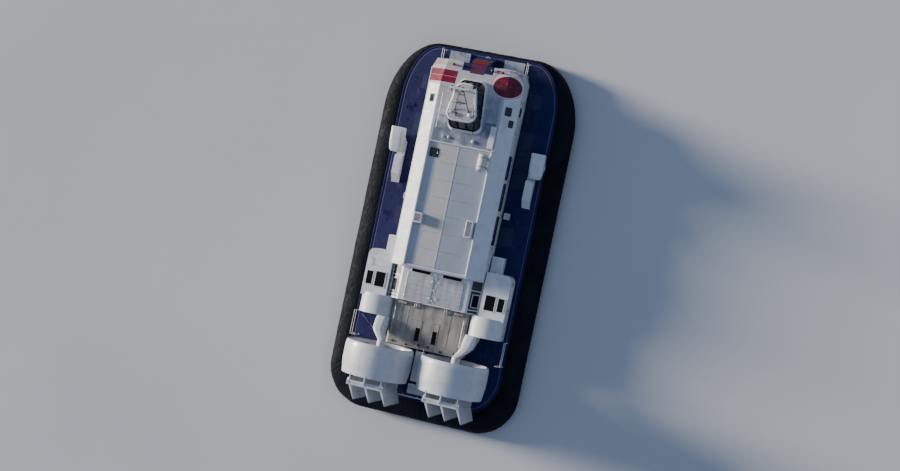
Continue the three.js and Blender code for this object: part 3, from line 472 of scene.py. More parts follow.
def plain_paint(name, base, roughness, wear=(0.5, 0.5, 0.48), amount=0.25):
    """Small painted fittings, chipped a little."""
    f = Finish(name, roughness, Coat_Weight=0.1)
    colour = f.mix(f.clouds(3), base, shade(base, 0.78))
    colour = f.mix(f.times(f.grain(16, 0.6, 0.68), amount), colour, wear)
    f.rough(f.clouds(8), 0.2, roughness - 0.08)
    f.bump((f.grain(60), 0.0005))
    return f.done(colour)


def bare_metal(name, base, roughness, brushed=(1, 1, 1)):
    """Metal that is tarnished in places, with fine scratches drawn out along the brushing."""
    f = Finish(name, roughness, Metallic=0.85)
    colour = f.mix(f.clouds(2), base, shade(base, 0.72))
    tarnish = f.grain(7, 0.52, 0.7, 7)
    colour = f.mix(f.times(tarnish, 0.55), colour, (0.16, 0.145, 0.13))
    scratches = f.grain(60, 0.3, 0.7, 3, brushed)
    f.rough(scratches, 0.3, roughness - 0.1)
    f.bump((scratches, 0.0006))
    return f.done(colour)


def skirt_rubber(name, base, dust):
    """Coated fabric: creased, dusty above and chafed below."""
    f = Finish(name, 0.6, Specular_IOR_Level=0.05)
    colour = f.mix(f.clouds(0.6), base, shade(base, 1.9))
    chafed = f.times(f.grain(3.5, 0.5, 0.72, 8, (1, 1, 0.4)), 0.22)
    colour = f.mix(chafed, colour, dust)
    salt = f.times(f.grain(11, 0.6, 0.72, 5), 0.2)
    colour = f.mix(salt, colour, shade(dust, 1.3))
    low = f.inverse(f.ramp(f.along(2), 0.02, 0.3))
    colour = f.mix(f.times(low, 0.4), colour, dust)
    f.rough(f.clouds(4), 0.25, 0.45)
    creases = f.grain(3.2, 0.35, 0.65, 6, (1.6, 1.6, 0.5))
    f.bump((creases, 0.013), (f.grain(190, 0.3, 0.7, 1), 0.0012))
    return f.done(colour)


def tinted_glass(name, tint, alpha):
    """Dark glass with dried drops on it."""
    f = Finish(name, 0.06, Alpha=alpha, Coat_Weight=0.6, Coat_Roughness=0.04)
    colour = f.mix(f.clouds(0.8), tint, shade(tint, 1.6))
    dried = f.times(f.grain(18, 0.6, 0.75, 6, (1, 1, 0.3)), 0.12)
    colour = f.mix(dried, colour, (0.3, 0.3, 0.3))
    f.rough(f.grain(9, 0.5, 0.8), 0.12, 0.05)
    return f.done(colour)


def seat_cloth(name, base, fleck):
    """Woven upholstery with a small fleck."""
    f = Finish(name, 0.9, Sheen_Weight=0.35, Sheen_Roughness=0.5)
    warp = f.node("ShaderNodeTexWave", {"Vector": f.stretched((1, 1, 0.2)), "Scale": 90.0, "Distortion": 0.6})
    weft = f.node("ShaderNodeTexWave", {"Vector": f.place, "Scale": 70.0}, bands_direction="Z")
    weave = f.times(warp.outputs["Fac"], weft.outputs["Fac"])
    colour = f.mix(weave, base, shade(base, 1.5))
    colour = f.mix(f.times(f.grain(38, 0.6, 0.66, 2), 0.7), colour, fleck)
    colour = f.mix(f.times(f.grain(1.4, 0.45, 0.7), 0.35), colour, shade(base, 0.6))
    f.bump((f.grain(5, 0.3, 0.7, 3), 0.003), (weave, 0.0008))
    return f.done(colour)


def moulded_plastic(name, base, roughness=0.5):
    """Plastic with a fine moulded texture, scuffed paler in places."""
    f = Finish(name, roughness)
    colour = f.mix(f.clouds(2.5), base, shade(base, 0.8))
    colour = f.mix(f.times(f.grain(20, 0.6, 0.72), 0.3), colour, [0.6 * c + 0.1 for c in base])
    f.rough(f.clouds(9), 0.2, roughness - 0.08)
    f.bump((f.cells(420.0), 0.0003))
    return f.done(colour)


def area(x, y, cloud=None):
    """A mask maker: between X and Y limits, and only where the noise of a cloud lets it through."""
    if cloud is None:
        return lambda f: f.patch(x, y)
    return lambda f: f.times(f.patch(x, y), f.grain(*cloud))


def oval(y, radii):
    """A mask maker: the round mark on the brow's starboard side, at a place along Y."""
    return lambda f: f.disc((-2.05, y), radii)


def bow_pattern():
    """Painted sunlight and shadow round the pilothouse, and painted bands on the roof's brow: (colour, mask
    maker) pairs, later ones on top.
    """
    red, dark_red, white = (0.195, 0.008, 0.03), (0.068, 0.014, 0.026), (0.66, 0.64, 0.65)
    navy, pink = (0.014, 0.018, 0.08), (0.55, 0.30, 0.33)
    purple, plum = (0.11, 0.04, 0.10), (0.10, 0.026, 0.062)
    warm, cool, shaded, dull = (0.42, 0.37, 0.34), (0.17, 0.20, 0.26), (0.29, 0.33, 0.41), (0.46, 0.46, 0.49)
    return [
        # first a warm patch of painted sunlight to port of the pilothouse, a darker blue-grey zone aft of it,
        # the pilothouse's painted shadow to starboard and a duller grey over the brow; then the brow's livery
        (warm, area((0.95, 2.0), (-9.0, -7.5), (1.6, 0.35, 0.62))),
        (cool, area((-1.9, 1.9), (-7.15, -5.46), (1.4, 0.24, 0.56))),
        (shaded, area((-1.9, -0.8), (-8.8, -7.15), (1.9, 0.3, 0.6))),
        (dull, area((-1.15, 2.9), (-10.6, -8.9), (1.7, 0.25, 0.55))),
        (navy, area((-0.98, 0.98), (-10.6, -10.05))),
        (purple, area((-2.75, -1.15), (-10.42, -10.3))),
        (pink, area((-2.75, -1.15), (-10.16, -10.04))),
        (pink, area((1.0, 2.9), (-10.34, -10.18))),
        (red, area((1.16, 3.0), (-9.92, -9.12))),
        (pink, area((1.16, 3.0), (-9.53, -9.505))),
        (pink, oval(-9.66, (1.02, 0.92))),
        (white, oval(-9.60, (0.94, 0.82))),
        (red, oval(-9.50, (0.86, 0.66))),
        (dark_red, lambda f: f.times(f.disc((-2.05, -9.5), (0.84, 0.64), 0.1), f.grain(2.6, 0.38, 0.6))),
        (plum, area((-0.45, 0.45), (-10.6, -9.95))),
    ]


# the insides of machinery spaces, painted near black as shade, each by its X, Y and Z limits
LIFT_BAYS = [(x, (2.96, 4.46), (1.1, 2.43)) for x in ((3.05, 4.545), (-4.545, -3.05))]
ENGINE_BAYS = [((-2.84, 2.84), (2.42, 4.39), (1.1, 2.62))]
AFT_BAYS = [((-2.39, 2.39), (4.5, 7.19), (1.1, 2.33))]

WHITE = white_paint("white_paint")
# the roof's faces that look up are painted darker and bluer as shade, and its patches include painted sunlight
# and shadow
ROOF = white_paint(
    "roof_paint", (0.72, 0.74, 0.785), bow_pattern(), top_shade_tint=(0.46, 0.48, 0.53), shine=0.25)
# a brighter copy of the white paint: painted sunlight on the lift housings, with painted shade inside their
# bays
LIFT_SUNLIT_WHITE = white_paint("lift_paint_sunlit", (0.83, 0.83, 0.835), bays=LIFT_BAYS)
CASING_WHITE = white_paint("engine_casing_paint", bays=ENGINE_BAYS)
PILOT_WALL = white_paint(
    "pilothouse_paint", patches=[((0.012, 0.013, 0.016), lambda f: f.band(2, 3.9, 4.93))])
MAST_GREY = plain_paint("mast_grey", (0.20, 0.20, 0.17), 0.5)
NOSE_BLOCK = ((0.17, 0.012, 0.018), area((-0.45, 0.45), (-10.92, -10.5)))
NOSE = white_paint("nose_paint", (0.016, 0.018, 0.075), [NOSE_BLOCK], shine=0.1, dirt=0.15)
# a darker, bluer copy of the white paint: painted shade, on the ducts, rudders, stern locker and gangway
SHADED_DUCT_WHITE = white_paint("duct_paint_shaded", (0.64, 0.655, 0.68))
NAVY = navy_paint()
WALKWAY = plain_paint("walkway_paint", (0.017, 0.022, 0.075), 0.85, (0.06, 0.07, 0.13), 0.5)
LINE = plain_paint("deck_line", (0.10, 0.08, 0.20), 0.6, (0.03, 0.03, 0.09), 0.6)
SOOTY = casing_paint("sooty_paint", (0.41, 0.395, 0.365), (0.13, 0.12, 0.11), 0.55, AFT_BAYS)
HATCH_GREY = casing_paint("hatch_paint", (0.53, 0.56, 0.60), (0.3, 0.29, 0.28), 0.3)
DARK = bare_metal("dark_metal", (0.055, 0.058, 0.062), 0.5)
ALLOY = bare_metal("bare_alloy", (0.62, 0.63, 0.64), 0.38, (1, 0.1, 1))
RUBBER = skirt_rubber("skirt_rubber", (0.0058, 0.0070, 0.0106), (0.0082, 0.0096, 0.0138))
SEAL = skirt_rubber("rubber_seal", (0.008, 0.008, 0.009), (0.025, 0.025, 0.026))
GLASS = tinted_glass("tinted_glass", (0.010, 0.016, 0.021), 0.8)
PILOT_GLASS = tinted_glass("pilothouse_glass", (0.012, 0.017, 0.021), 0.72)
CLOTH = seat_cloth("seat_cloth", (0.028, 0.045, 0.13), (0.10, 0.16, 0.30))
HELM_CLOTH = seat_cloth("helm_cloth", (0.025, 0.025, 0.028), (0.07, 0.07, 0.08))
BLACK = moulded_plastic("dark_plastic", (0.02, 0.021, 0.023))
PLASTIC = moulded_plastic("white_plastic", (0.62, 0.63, 0.62), 0.45)
FLOORING = moulded_plastic("cabin_floor", (0.085, 0.09, 0.105), 0.7)
DARK_GLASS = tinted_glass("dark_glass", (0.006, 0.010, 0.014), 1.0)
# copies of the roof paint: warm grey as painted sunlight, on the port roof panels and the pilothouse roof, and
# a cooler, darker blue-grey as painted shade on the starboard roof panels
PANEL_SUNLIT = white_paint("panel_sunlit", (0.50, 0.495, 0.485))
PANEL_SHADED = white_paint("panel_shaded", (0.355, 0.395, 0.465))
RUST = bare_metal("exhaust_rust", (0.13, 0.085, 0.06), 0.6)
BLADE_GREY = moulded_plastic("blade_grey", (0.035, 0.036, 0.04), 0.4)
BLADE_TIP = plain_paint("blade_tip", (0.6, 0.42, 0.05), 0.5)
LAMP_GLASS = moulded_plastic("lamp_glass", (0.72, 0.74, 0.72), 0.2)
GREEN_GLASS = moulded_plastic("green_glass", (0.01, 0.30, 0.09), 0.2)
RED_GLASS = moulded_plastic("red_glass", (0.42, 0.015, 0.015), 0.2)

# the CAD pieces that show as they are, and their finishes
SINGLE_PIECES = {
    "hull": NAVY, "cabin_front": WHITE, "cabin_rear": WHITE, "cabin_roof": ROOF, "roof_hatch": BLACK,
    "nose_fairing": NOSE, "pilothouse_walls": PILOT_WALL, "pilothouse_glass": PILOT_GLASS,
    "pilothouse_roof": PANEL_SUNLIT, "mast": MAST_GREY, "radar_scanner": PLASTIC, "engine_casing": CASING_WHITE,
    "aft_casing": SOOTY,
}
PAIRED_PIECES = {
    "landing_skid": DARK, "cabin_side": WHITE, "side_glass": GLASS, "side_door": WHITE, "front_door": WHITE,
    "boarding_ramp": ALLOY, "roof_vent": WHITE, "engine_hatch": HATCH_GREY, "engine": DARK,
    "lift_housing": LIFT_SUNLIT_WHITE, "lift_fan": ALLOY, "drive_fairing": WHITE, "duct": SHADED_DUCT_WHITE,
    "propeller": BLACK, "thruster_feed": WHITE, "bow_thruster": WHITE,
}
RUDDERS = (1, 2, 3)


def finish_nodes(looks, ending=""):
    for node, material in looks.items():
        for place in NODES[node + ending].material_slots:
            place.material = material


finish_nodes(SINGLE_PIECES)
for name, _ in SIDES:
    finish_nodes(PAIRED_PIECES, f"_{name}")
    finish_nodes({f"rudder_{name}_{number}": SHADED_DUCT_WHITE for number in RUDDERS})


# Skirt: a bag round the deck's edge with fingers under it, slack as the craft parks

HULL_PLAN = {
    "half": 4.97, "bow": -11.48, "stern": 10.5, "bow_corner": (1.9, 3.4), "stern_corner": (1.97, 2.4)}
SKIRT_PLAN = {
    "half": 6.15, "bow": -11.7, "stern": 11.7, "bow_corner": (3.05, 4.4), "stern_corner": (2.6, 2.6)}
BAG_SECTION = [  # share of the way out, height
    (0.0, 1.122), (0.1, 1.145), (0.22, 1.15), (0.36, 1.135), (0.5, 1.095), (0.63, 1.04), (0.75, 0.965),
    (0.85, 0.87), (0.925, 0.765), (0.975, 0.655), (0.995, 0.545), (0.975, 0.445), (0.91, 0.375), (0.8, 0.345),
    (0.62, 0.36), (0.42, 0.43), (0.2, 0.54), (0.0, 0.66),
]
FINGER_LEVELS = [  # height, outer share, inner share
    (0.47, 0.985, 0.74), (0.40, 0.992, 0.68), (0.31, 0.975, 0.62), (0.21, 0.945, 0.58), (0.12, 0.91, 0.555),
    (0.045, 0.885, 0.54), (0.004, 0.895, 0.54),
]
FINGERS = 192
BAG_STEPS = 4 * FINGERS
PANEL_FINGERS = 4  # one bag panel spans this many fingers
CORNER_STEPS, SIDE_STEPS = 40, 80
SEAM_HEIGHT = 0.53  # of the washers that hold the fingers on


def plan_outline(plan):
    """The craft's outline from above, from the stern's port corner round by starboard."""
    half, bow_y, stern_y = plan["half"], plan["bow"], plan["stern"]
    bow = (half - plan["bow_corner"][0], bow_y + plan["bow_corner"][1])
    stern = (half - plan["stern_corner"][0], stern_y - plan["stern_corner"][1])
    centres = [(stern, "stern"), ((-stern[0], stern[1]), "stern"), ((-bow[0], bow[1]), "bow"), (bow, "bow")]
    corners = [
        arc(centre, plan[f"{end}_corner"], 90 * i, 90 * i + 90, CORNER_STEPS)[:-1]
        for i, (centre, end) in enumerate(centres)]
    corner_ends = [(stern[0], stern_y), (-half, stern[1]), (-bow[0], bow_y), (half, bow[1])]
    points = []
    for i in range(4):
        points += corners[i]
        start, after = Vector(corner_ends[i]), Vector(corners[(i + 1) % 4][0])
        points += [tuple(start.lerp(after, k / SIDE_STEPS)) for k in range(SIDE_STEPS)]
    return [Vector(p) for p in points]


def run_lengths(points):
    """The distance round an outline at each of its points, and at last the whole way round."""
    steps = [(points[(i + 1) % len(points)] - point).length for i, point in enumerate(points)]
    return [0.0, *itertools.accumulate(steps)]


DECK_EDGE = plan_outline(HULL_PLAN)
SKIRT_EDGE = plan_outline(SKIRT_PLAN)
SKIRT_RUN = run_lengths(SKIRT_EDGE)
PERIMETER = SKIRT_RUN[-1]


def at_run(run):
    """The deck-edge point and the skirt-edge point at a distance round the skirt."""
    run %= PERIMETER
    low = bisect.bisect_right(SKIRT_RUN, run) - 1
    share = (run - SKIRT_RUN[low]) / (SKIRT_RUN[low + 1] - SKIRT_RUN[low])
    after = (low + 1) % len(SKIRT_EDGE)
    return DECK_EDGE[low].lerp(DECK_EDGE[after], share), SKIRT_EDGE[low].lerp(SKIRT_EDGE[after], share)


def skirt_point(run, share, height, proud=0.0):
    """A point at a share of the way from the deck's edge to the skirt's, and a little further out."""
    deck, edge = at_run(run)
    way = edge - deck
    flat = deck + way * share + way.normalized() * proud
    return Vector((flat.x, flat.y, height))


def sag(run, free):
    """How far the bag's cloth hangs out of true, with free from 0 where it is held to 1."""
    return 0.018 * noise.noise((run * 0.7, 1.7, 5.0)) * free


def skirt_bag():
    """The bag, in pillowed panels with folds, scalloped where the fingers pull at it."""
    shape = Shape()
    rings = []
    for i in range(BAG_STEPS):
        run = PERIMETER * i / BAG_STEPS
        panel = (i % (4 * PANEL_FINGERS)) / (4 * PANEL_FINGERS)
        pillow = 0.026 * math.sin(math.pi * panel) ** 0.6 - 0.012
        ring = []
        for share, height in BAG_SECTION:
            free = min(1.0, share / 0.3) * (1.0 if height > 0.4 else 0.5)
            large = 0.020 * noise.noise((run * 1.9, 3.1 * height, 0.4))
            folds = large + 0.010 * noise.noise((run * 6.1, height, 9.0))
            scallop = 0.014 * abs(math.sin(math.pi * FINGERS * i / BAG_STEPS)) * (1.0 if height < 0.6 else 0.0)
            proud = (pillow + folds + scallop) * free + 0.012
            ring.append(skirt_point(run, share, height + sag(run, free), proud))
        rings.append(ring)
    shape.loft(rings, loop=True)
    return shape


def skirt_fingers():
    """Each finger is a scoop with a rounded face, drawn in towards the ground and a little crumpled."""
    shape = Shape()
    spacing = PERIMETER / FINGERS
    draw = random.Random(7)
    for i in range(FINGERS):
        middle = (i + 0.5) * spacing
        lean = draw.uniform(-0.018, 0.018)
        slack = draw.uniform(0.0, 0.03)
        fold = draw.uniform(0.25, 0.75)
        rings = []
        for level, (height, outer, inner) in enumerate(FINGER_LEVELS):
            down = level / (len(FINGER_LEVELS) - 1)
            ring = []
            for k in range(9):
                angle = math.pi * k / 8
                side = -math.cos(angle) * (0.495 - 0.02 * down)
                bulge = math.sin(angle) ** 0.7 * (0.075 + 0.02 * down)
                pinch = -0.035 * down * math.exp(-((k / 8 - fold) / 0.12) ** 2)
                crumple = 0.016 * down * noise.noise((middle * 9 + k, height * 14, 2.0))
                proud = bulge + pinch + crumple + slack * down - 0.06
                ring.append(skirt_point(middle + side * spacing + lean * down, outer, height, proud))
            for side in (0.34, 0.0, -0.34):
                ring.append(skirt_point(middle + side * spacing + lean * down, inner, height))
            rings.append(ring)
        shape.loft(rings)
    return shape


def skirt_seams():
    """Doubled strips where the bag's panels are joined, and the row of washers that hold the fingers on."""
    shape = Shape()
    panels = FINGERS // PANEL_FINGERS
    section = ((-0.045, -0.02, 0), (-0.035, 0.014, 0.004), (0.035, 0.014, 0.004), (0.045, -0.02, 0))
    for i in range(panels):
        run = PERIMETER * i / panels
        shape.loft([
            [skirt_point(run + side, share, height + sag(run, min(1.0, share / 0.3)) + lift, 0.012 + proud)
             for side, proud, lift in section]
            for share, height in BAG_SECTION[1:-6]])
    for i in range(2 * FINGERS):
        run = PERIMETER * (i + 0.5) / (2 * FINGERS)
        place = skirt_point(run, 0.995, SEAM_HEIGHT, 0.028)
        inner = skirt_point(run, 0.5, SEAM_HEIGHT, 0)
        shape.knob(place, 0.022, (0.02, 0.01), 0.012, place - inner)
    return shape


SKIRT_NODES = ("skirt_bow", "skirt_port", "skirt_starboard", "skirt_stern")
piece("skirt_bag", skirt_bag(), [RUBBER], replaces=SKIRT_NODES, crease=70)
piece("skirt_fingers", skirt_fingers(), [RUBBER], replaces=SKIRT_NODES, crease=55)
piece("skirt_seams", skirt_seams(), [SEAL], crease=50)


def under_ramp(point):
    """Whether a boarding ramp folds down over this place on the bow."""
    return point.y < -11.2 and 1.0 < abs(point.x) < 2.52


def outward(i):
    """The direction away from the craft at a point of the deck's edge."""
    along = DECK_EDGE[(i + 1) % len(DECK_EDGE)] - DECK_EDGE[i - 1]
    return Vector((along.y, -along.x)).normalized()


def edge_strip(shape, start, end, low, top, finish):
    """A strip with a low rounded section along the deck's edge, sunk where the ramps fold over it."""
    rings = []
    for i, point in enumerate(DECK_EDGE):
        high = min(top, DECK + 0.004) if under_ramp(point) else top
        section = ((start, low), (start, high - 0.006), (start + 0.012, high), (end - 0.012, high),
                   (end, high - 0.006), (end, low))
        away = outward(i)
        rings.append([(*(point + away * out), z) for out, z in section])
    shape.loft(rings, finish, loop=True)


def deck_edge():
    """The alloy strip that clamps the skirt to the deck, its bolts, and the painted line inside it."""
    shape = Shape()
    edge_strip(shape, -0.05, 0.03, DECK - 0.05, DECK + 0.022, 0)
    edge_strip(shape, -0.20, -0.14, DECK - 0.02, DECK + 0.003, 1)
    head, spacing, count = bolt(), 0.35, 0
    for i, (point, run) in enumerate(zip(DECK_EDGE, run_lengths(DECK_EDGE))):
        if run < count * spacing:
            continue
        count += 1
        if not under_ramp(point):
            place = point - outward(i) * 0.012
            shape.take(head, moved(place.x, place.y, DECK + 0.021))
    return shape


piece("deck_edge_strip", deck_edge(), [NAVY, LINE])


# Deck fittings

def cleat():
    """A two-horned mooring cleat on a pad, along X."""
    shape = Shape()
    shape.block((-0.14, -0.05, 0), (0.14, 0.05, 0.012))
    for x in (-0.06, 0.06):
        shape.lathe([(0, 0.01), (0.026, 0.01), (0.02, 0.04), (0.018, 0.085), (0, 0.085)], (x, 0, 0), UP, 0, 12)
    horn = [(0.06, 0, 0.088), (0.15, 0, 0.098), (0.19, 0, 0.105)]
    shape.tube([(-x, y, z) for x, y, z in reversed(horn)] + horn, 0.02, 0, 10)
    return shape


def post_rail(shape, run, height, lower, spacing=1.1):
    """Posts, a top rail and a lower rail along a run of deck points."""
    radius = 0.019
    run = [Vector(p) for p in run]
    for level in (height, lower):
        shape.tube([p + Vector((0, 0, level)) for p in run], radius)
    for a, b in zip(run, run[1:]):
        count = max(1, round((b - a).length / spacing))
        for k in range(0 if a == run[0] else 1, count + 1):
            foot = a.lerp(b, k / count)
            shape.tube([foot, foot + Vector((0, 0, height))], radius)
            shape.knob(foot, 0.045, (0.045, 0.008), 0.01, sides=10)


def flush_hatch(half_x, half_y):
    """A round-cornered plate hatch with a rim, a handle recess and hinges."""
    shape = Shape()
    section = [(0.02, -0.01), (0.02, 0.008), (0.012, 0.012), (0.004, 0.012), (0.002, 0.004), (-0.004, 0.004),
               (-0.008, 0.014), (-0.02, 0.017)]
    lo, hi = (-half_x, -half_y), (half_x, half_y)
    shape.loft([[(*p, height) for p in rounded(lo, hi, 0.06, grow)] for grow, height in section])
    shape.block((-0.06, half_y - 0.12, 0.015), (0.06, half_y - 0.06, 0.026), 1)
    for x in (-0.5 * half_x, 0.5 * half_x):
        shape.tube([(x - 0.05, -half_y - 0.005, 0.018), (x + 0.05, -half_y - 0.005, 0.018)], 0.013, 1)
    return shape


def tie_down():
    """A flat lashing ring in a shallow cup."""
    shape = Shape()
    cup = [(0, 0), (0.075, 0), (0.07, 0.008), (0.05, 0.006), (0.045, 0.002), (0, 0.002)]
    shape.lathe(cup, (0, 0, 0), UP, 0, 20)
    ring = [(0.035 * math.cos(t), 0.035 * math.sin(t), 0.014) for t in circle(16)]
    shape.tube(ring, 0.007, 1, 6, loop=True)
    return shape


# half of each kind of place: the other half mirrors it
CLEATS = ((2.75, -10.95, 60), (4.55, -7.35, 90), (4.62, -0.6, 90), (4.5, 7.6, 90), (3.2, 10.05, 0))
HATCHES = ((3.75, -8.3), (3.75, -2.4), (3.72, 6.55))
TIE_DOWNS = [(x, y) for x in (3.35, 4.3) for y in (-9.3, -6.6, -4.6, -1.6, -0.2) if (x, y) != (4.3, -4.6)]


def both_sides(places):
    return [moved(sign * x, y, DECK, *turn) for _, sign in SIDES for x, y, *turn in places]


def deck_fittings():
    """Cleats, hatches and lashing rings, and a step and a shore-power box on each side."""
    shape = Shape()
    shape.take(cleat(), *both_sides(CLEATS))
    shape.take(flush_hatch(0.3, 0.36), *both_sides(HATCHES))
    shape.take(tie_down(), *both_sides(TIE_DOWNS))
    for _, sign in SIDES:
        # a low step with treads under each side door
        shape.block((sign * 3.02, -8.72, DECK), (sign * 3.36, -7.68, DECK + 0.08), 0, 0.012)
        for y in spread(-8.62, -7.78, 9):
            shape.block((sign * 3.05, y - 0.02, DECK + 0.078), (sign * 3.33, y + 0.02, DECK + 0.086), 1, 0.002)
        # shore-power box, its lid and its socket
        shape.block((sign * 3.1, -2.06, DECK), (sign * 3.42, -1.66, DECK + 0.34), 2, 0.02)
        shape.block((sign * 3.08, -2.04, DECK + 0.34), (sign * 3.44, -1.68, DECK + 0.36), 2, 0.008)
        shape.tube([(sign * 3.26, -1.66, DECK + 0.2), (sign * 3.26, -1.6, DECK + 0.2)], 0.04, 1, 12)
    return shape


def deck_rails():
    """White rails: bow corners, stern pockets, the stern, and grab rails by the side doors."""
    shape = Shape()
    for _, sign in SIDES:
        post_rail(shape, [(sign * 2.72, y, DECK) for y in (-11.3, -10.55)], 0.95, 0.5, 0.75)
        pocket = [(4.86, 5.75), (4.86, 7.25), (4.55, 7.25)]
        post_rail(shape, [(sign * x, y, DECK) for x, y in pocket], 0.9, 0.47)
        for y in (-8.86, -7.54):
            grip = [(2.922, 1.75), (2.99, 1.77), (2.99, 2.55), (2.922, 2.57)]
            shape.tube([(sign * x, y, z) for x, z in grip], 0.016)
    post_rail(shape, [(-1.9, 10.3, DECK), (1.9, 10.3, DECK)], 0.55, 0.28, 0.95)
    # a bracing wire across the port stern pocket
    shape.tube([(4.6, 5.95, DECK + 0.03), (3.3, 6.95, DECK + 0.03)], 0.014, 1, 6)
    return shape


def deck_walkway():
    """Non-slip panels along the side decks, with trimmed corners, clear of step and hatch."""
    shape = Shape()
    x0, x1, cut = 3.04, 3.86, 0.05
    for _, sign in SIDES:
        for y in spread(-9.6, 0.0, 9)[:-1]:
            lo, hi = y + 0.03, y + 1.17
            outline = [
                (x0 + cut, lo), (x1 - cut, lo), (x1, lo + cut), (x1, hi - cut),
                (x1 - cut, hi), (x0 + cut, hi), (x0, hi - cut), (x0, lo + cut)]
            middle = (lo + hi) / 2
            by_step = -9.0 < middle < -7.4
            by_hatch = abs(middle + 2.4) < 0.7
            if not by_step and not by_hatch:
                shape.prism([(sign * a, b) for a, b in outline], 2, DECK + 0.0005, DECK + 0.004)
    return shape


def stern_locker():
    """A low locker on the stern deck between the rudders, with a ribbed lid."""
    shape = Shape()
    half, front, rear, height = 0.62, 9.5, 10.08, 0.36
    top = DECK + height
    shape.block((-half, front, DECK + 0.001), (half, rear, top), 0, 0.012)
    shape.block((-half - 0.02, front - 0.02, top + 0.002), (half + 0.02, rear + 0.02, top + 0.034), 0, 0.01)
    for x in spread(-0.45, 0.45, 4):
        shape.block((x - 0.02, front + 0.06, top + 0.03), (x + 0.02, rear - 0.06, top + 0.044))
    for x in (-0.42, 0.42):
        shape.tube([(x - 0.05, front - 0.028, top), (x + 0.05, front - 0.028, top)], 0.014, 1)
        shape.block((x - 0.03, rear, DECK + 0.22), (x + 0.03, rear + 0.012, top + 0.01), 1, 0.003)
    shape.handle((-0.08, rear, DECK + 0.2), (0.08, rear, DECK + 0.2), (0, 0.035, 0), 0.009, 1)
    return shape


piece("deck_fittings", deck_fittings(), [NAVY, DARK, PLASTIC, ALLOY])
piece("deck_rails", deck_rails(), [WHITE, ALLOY])
piece("stern_locker", stern_locker(), [SHADED_DUCT_WHITE, ALLOY])
piece("deck_walkway", deck_walkway(), [WALKWAY])


# Landing skids and underside

def underside():
    """Frames, cooling strakes and drain plugs under the hull, and screws along the skids."""
    shape = Shape()
    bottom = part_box("hull")[0].z
    strip_top = bottom + 0.01
    for y in spread(-9.4, 8.6, 13):
        shape.block((-2.12, y - 0.03, bottom - 0.06), (2.12, y + 0.03, strip_top), 0, 0.01)
    for x in (-1.0, 0.0, 1.0):
        shape.block((x - 0.04, -9.6, bottom - 0.045), (x + 0.04, 8.8, strip_top), 0, 0.01)
    for x, y in itertools.product((-3.4, 3.4), spread(-7.0, 6.4, 9)):
        shape.block((x - 0.45, y - 0.025, bottom - 0.04), (x + 0.45, y + 0.025, strip_top), 0, 0.008)
    for x, y in itertools.product((-3.2, -1.5, 1.5, 3.2), spread(-8.2, 7.8, 6)):
        shape.knob((x, y, bottom + 0.002), 0.05, (0.045, 0.012), 0.014, (0, 0, -1), 1, 12)
    for name, _ in SIDES:
        low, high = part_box(f"landing_skid_{name}")
        for y in spread(low.y + 1.3, high.y - 1.3, 12):
            for x, side in ((low.x - 0.004, -1), (high.x + 0.004, 1)):
                shape.knob((x, y, 0.16), 0.028, (0.024, 0.012), 0.014, (side, 0, 0), 1, 6)
    return shape


piece("underside_frames", underside(), [NAVY, DARK])


# Cabin: windows, doors and wall fittings

GASKET = [(-0.022, -0.02), (-0.022, 0.006), (-0.016, 0.013), (0.022, 0.013), (0.03, 0.008), (0.03, -0.004)]
SIDE_WINDOWS = [(-5.45, -4.05), (-3.75, -2.10), (-1.72, 0.03)]
WINDOW_LOW, WINDOW_HIGH = 2.0, 2.88
WALL = 2.92  # X of the side walls' outer face
WALL_INSIDE = 2.84
FRONT_WALL = -10.55


def window_gaskets():
    """Rubber round each side window, inside and outside, and a thin bar down its middle."""
    shape = Shape()
    for _, sign in SIDES:
        for start, end in SIDE_WINDOWS:
            lo, hi = (start, WINDOW_LOW), (end, WINDOW_HIGH)
            rim(shape, lo, hi, sideways(sign * WALL, sign), GASKET)
            rim(shape, lo, hi, sideways(sign * WALL_INSIDE, -sign), GASKET)
            middle = (start + end) / 2
            shape.block((sign * (WALL - 0.022), middle - 0.018, WINDOW_LOW),
                        (sign * (WALL + 0.004), middle + 0.018, WINDOW_HIGH))
    return shape


def side_wall_fittings(shape, sign):
    """Cover strips, a rubbing strip, the gutter, the door frame, the grab rail and lamps on one side wall."""
    head = bolt(0.009, 0.007)
    sunk = sign * (WALL - 0.004)
    for y in (-9.62, -7.15, -5.74, -3.9, -1.91, 0.32):
        shape.block((sunk, y - 0.045, 1.24), (sign * (WALL + 0.007), y + 0.045, 2.97), 0, 0.003)
        for z in spread(1.3, 2.9, 9):
            place = Matrix.Translation((sign * (WALL + 0.006), y, z))
            shape.take(head, place @ Matrix.Rotation(sign * math.pi / 2, 4, "Y"))
    for low, high in ((-9.62, -8.86), (-7.54, 0.62)):
        shape.block((sunk, low, 1.62), (sign * (WALL + 0.022), high, 1.68), 0, 0.01)
    shape.tube([(sign * (WALL + 0.018), y, 2.985) for y in (-9.95, 2.27)], 0.024, 0, 10)
    section = [(0.0, -0.004), (0.0, 0.018), (0.006, 0.022), (0.034, 0.022), (0.04, 0.016), (0.04, -0.004)]
    rim(shape, (-8.785, 1.315), (-7.62, 2.955), sideways(sign * WALL, sign), section, 0, 0.03)
    rail_ends, rail_z, rail_x = (-7.3, -0.3), 1.86, sign * (WALL + 0.062)
    shape.tube([(rail_x, y, rail_z) for y in rail_ends], 0.017, 1, 10)
    for y in spread(*rail_ends, 8):
        shape.tube([(sign * (WALL - 0.002), y, rail_z), (rail_x, y, rail_z)], 0.012, 1)
        shape.knob((sign * (WALL - 0.001), y, rail_z), 0.032, (0.03, 0.008), 0.01, (sign, 0, 0), 1, 12)
    # deck lamps under the gutter
    for y in (-6.45, -3.9, -0.3):
        shape.block((sunk, y - 0.07, 2.9), (sign * (WALL + 0.03), y + 0.07, 2.955), 0, 0.008)
        shape.tube([(sign * (WALL + 0.045), y + s, 2.925) for s in (-0.055, 0.055)], 0.022, 2, 10)


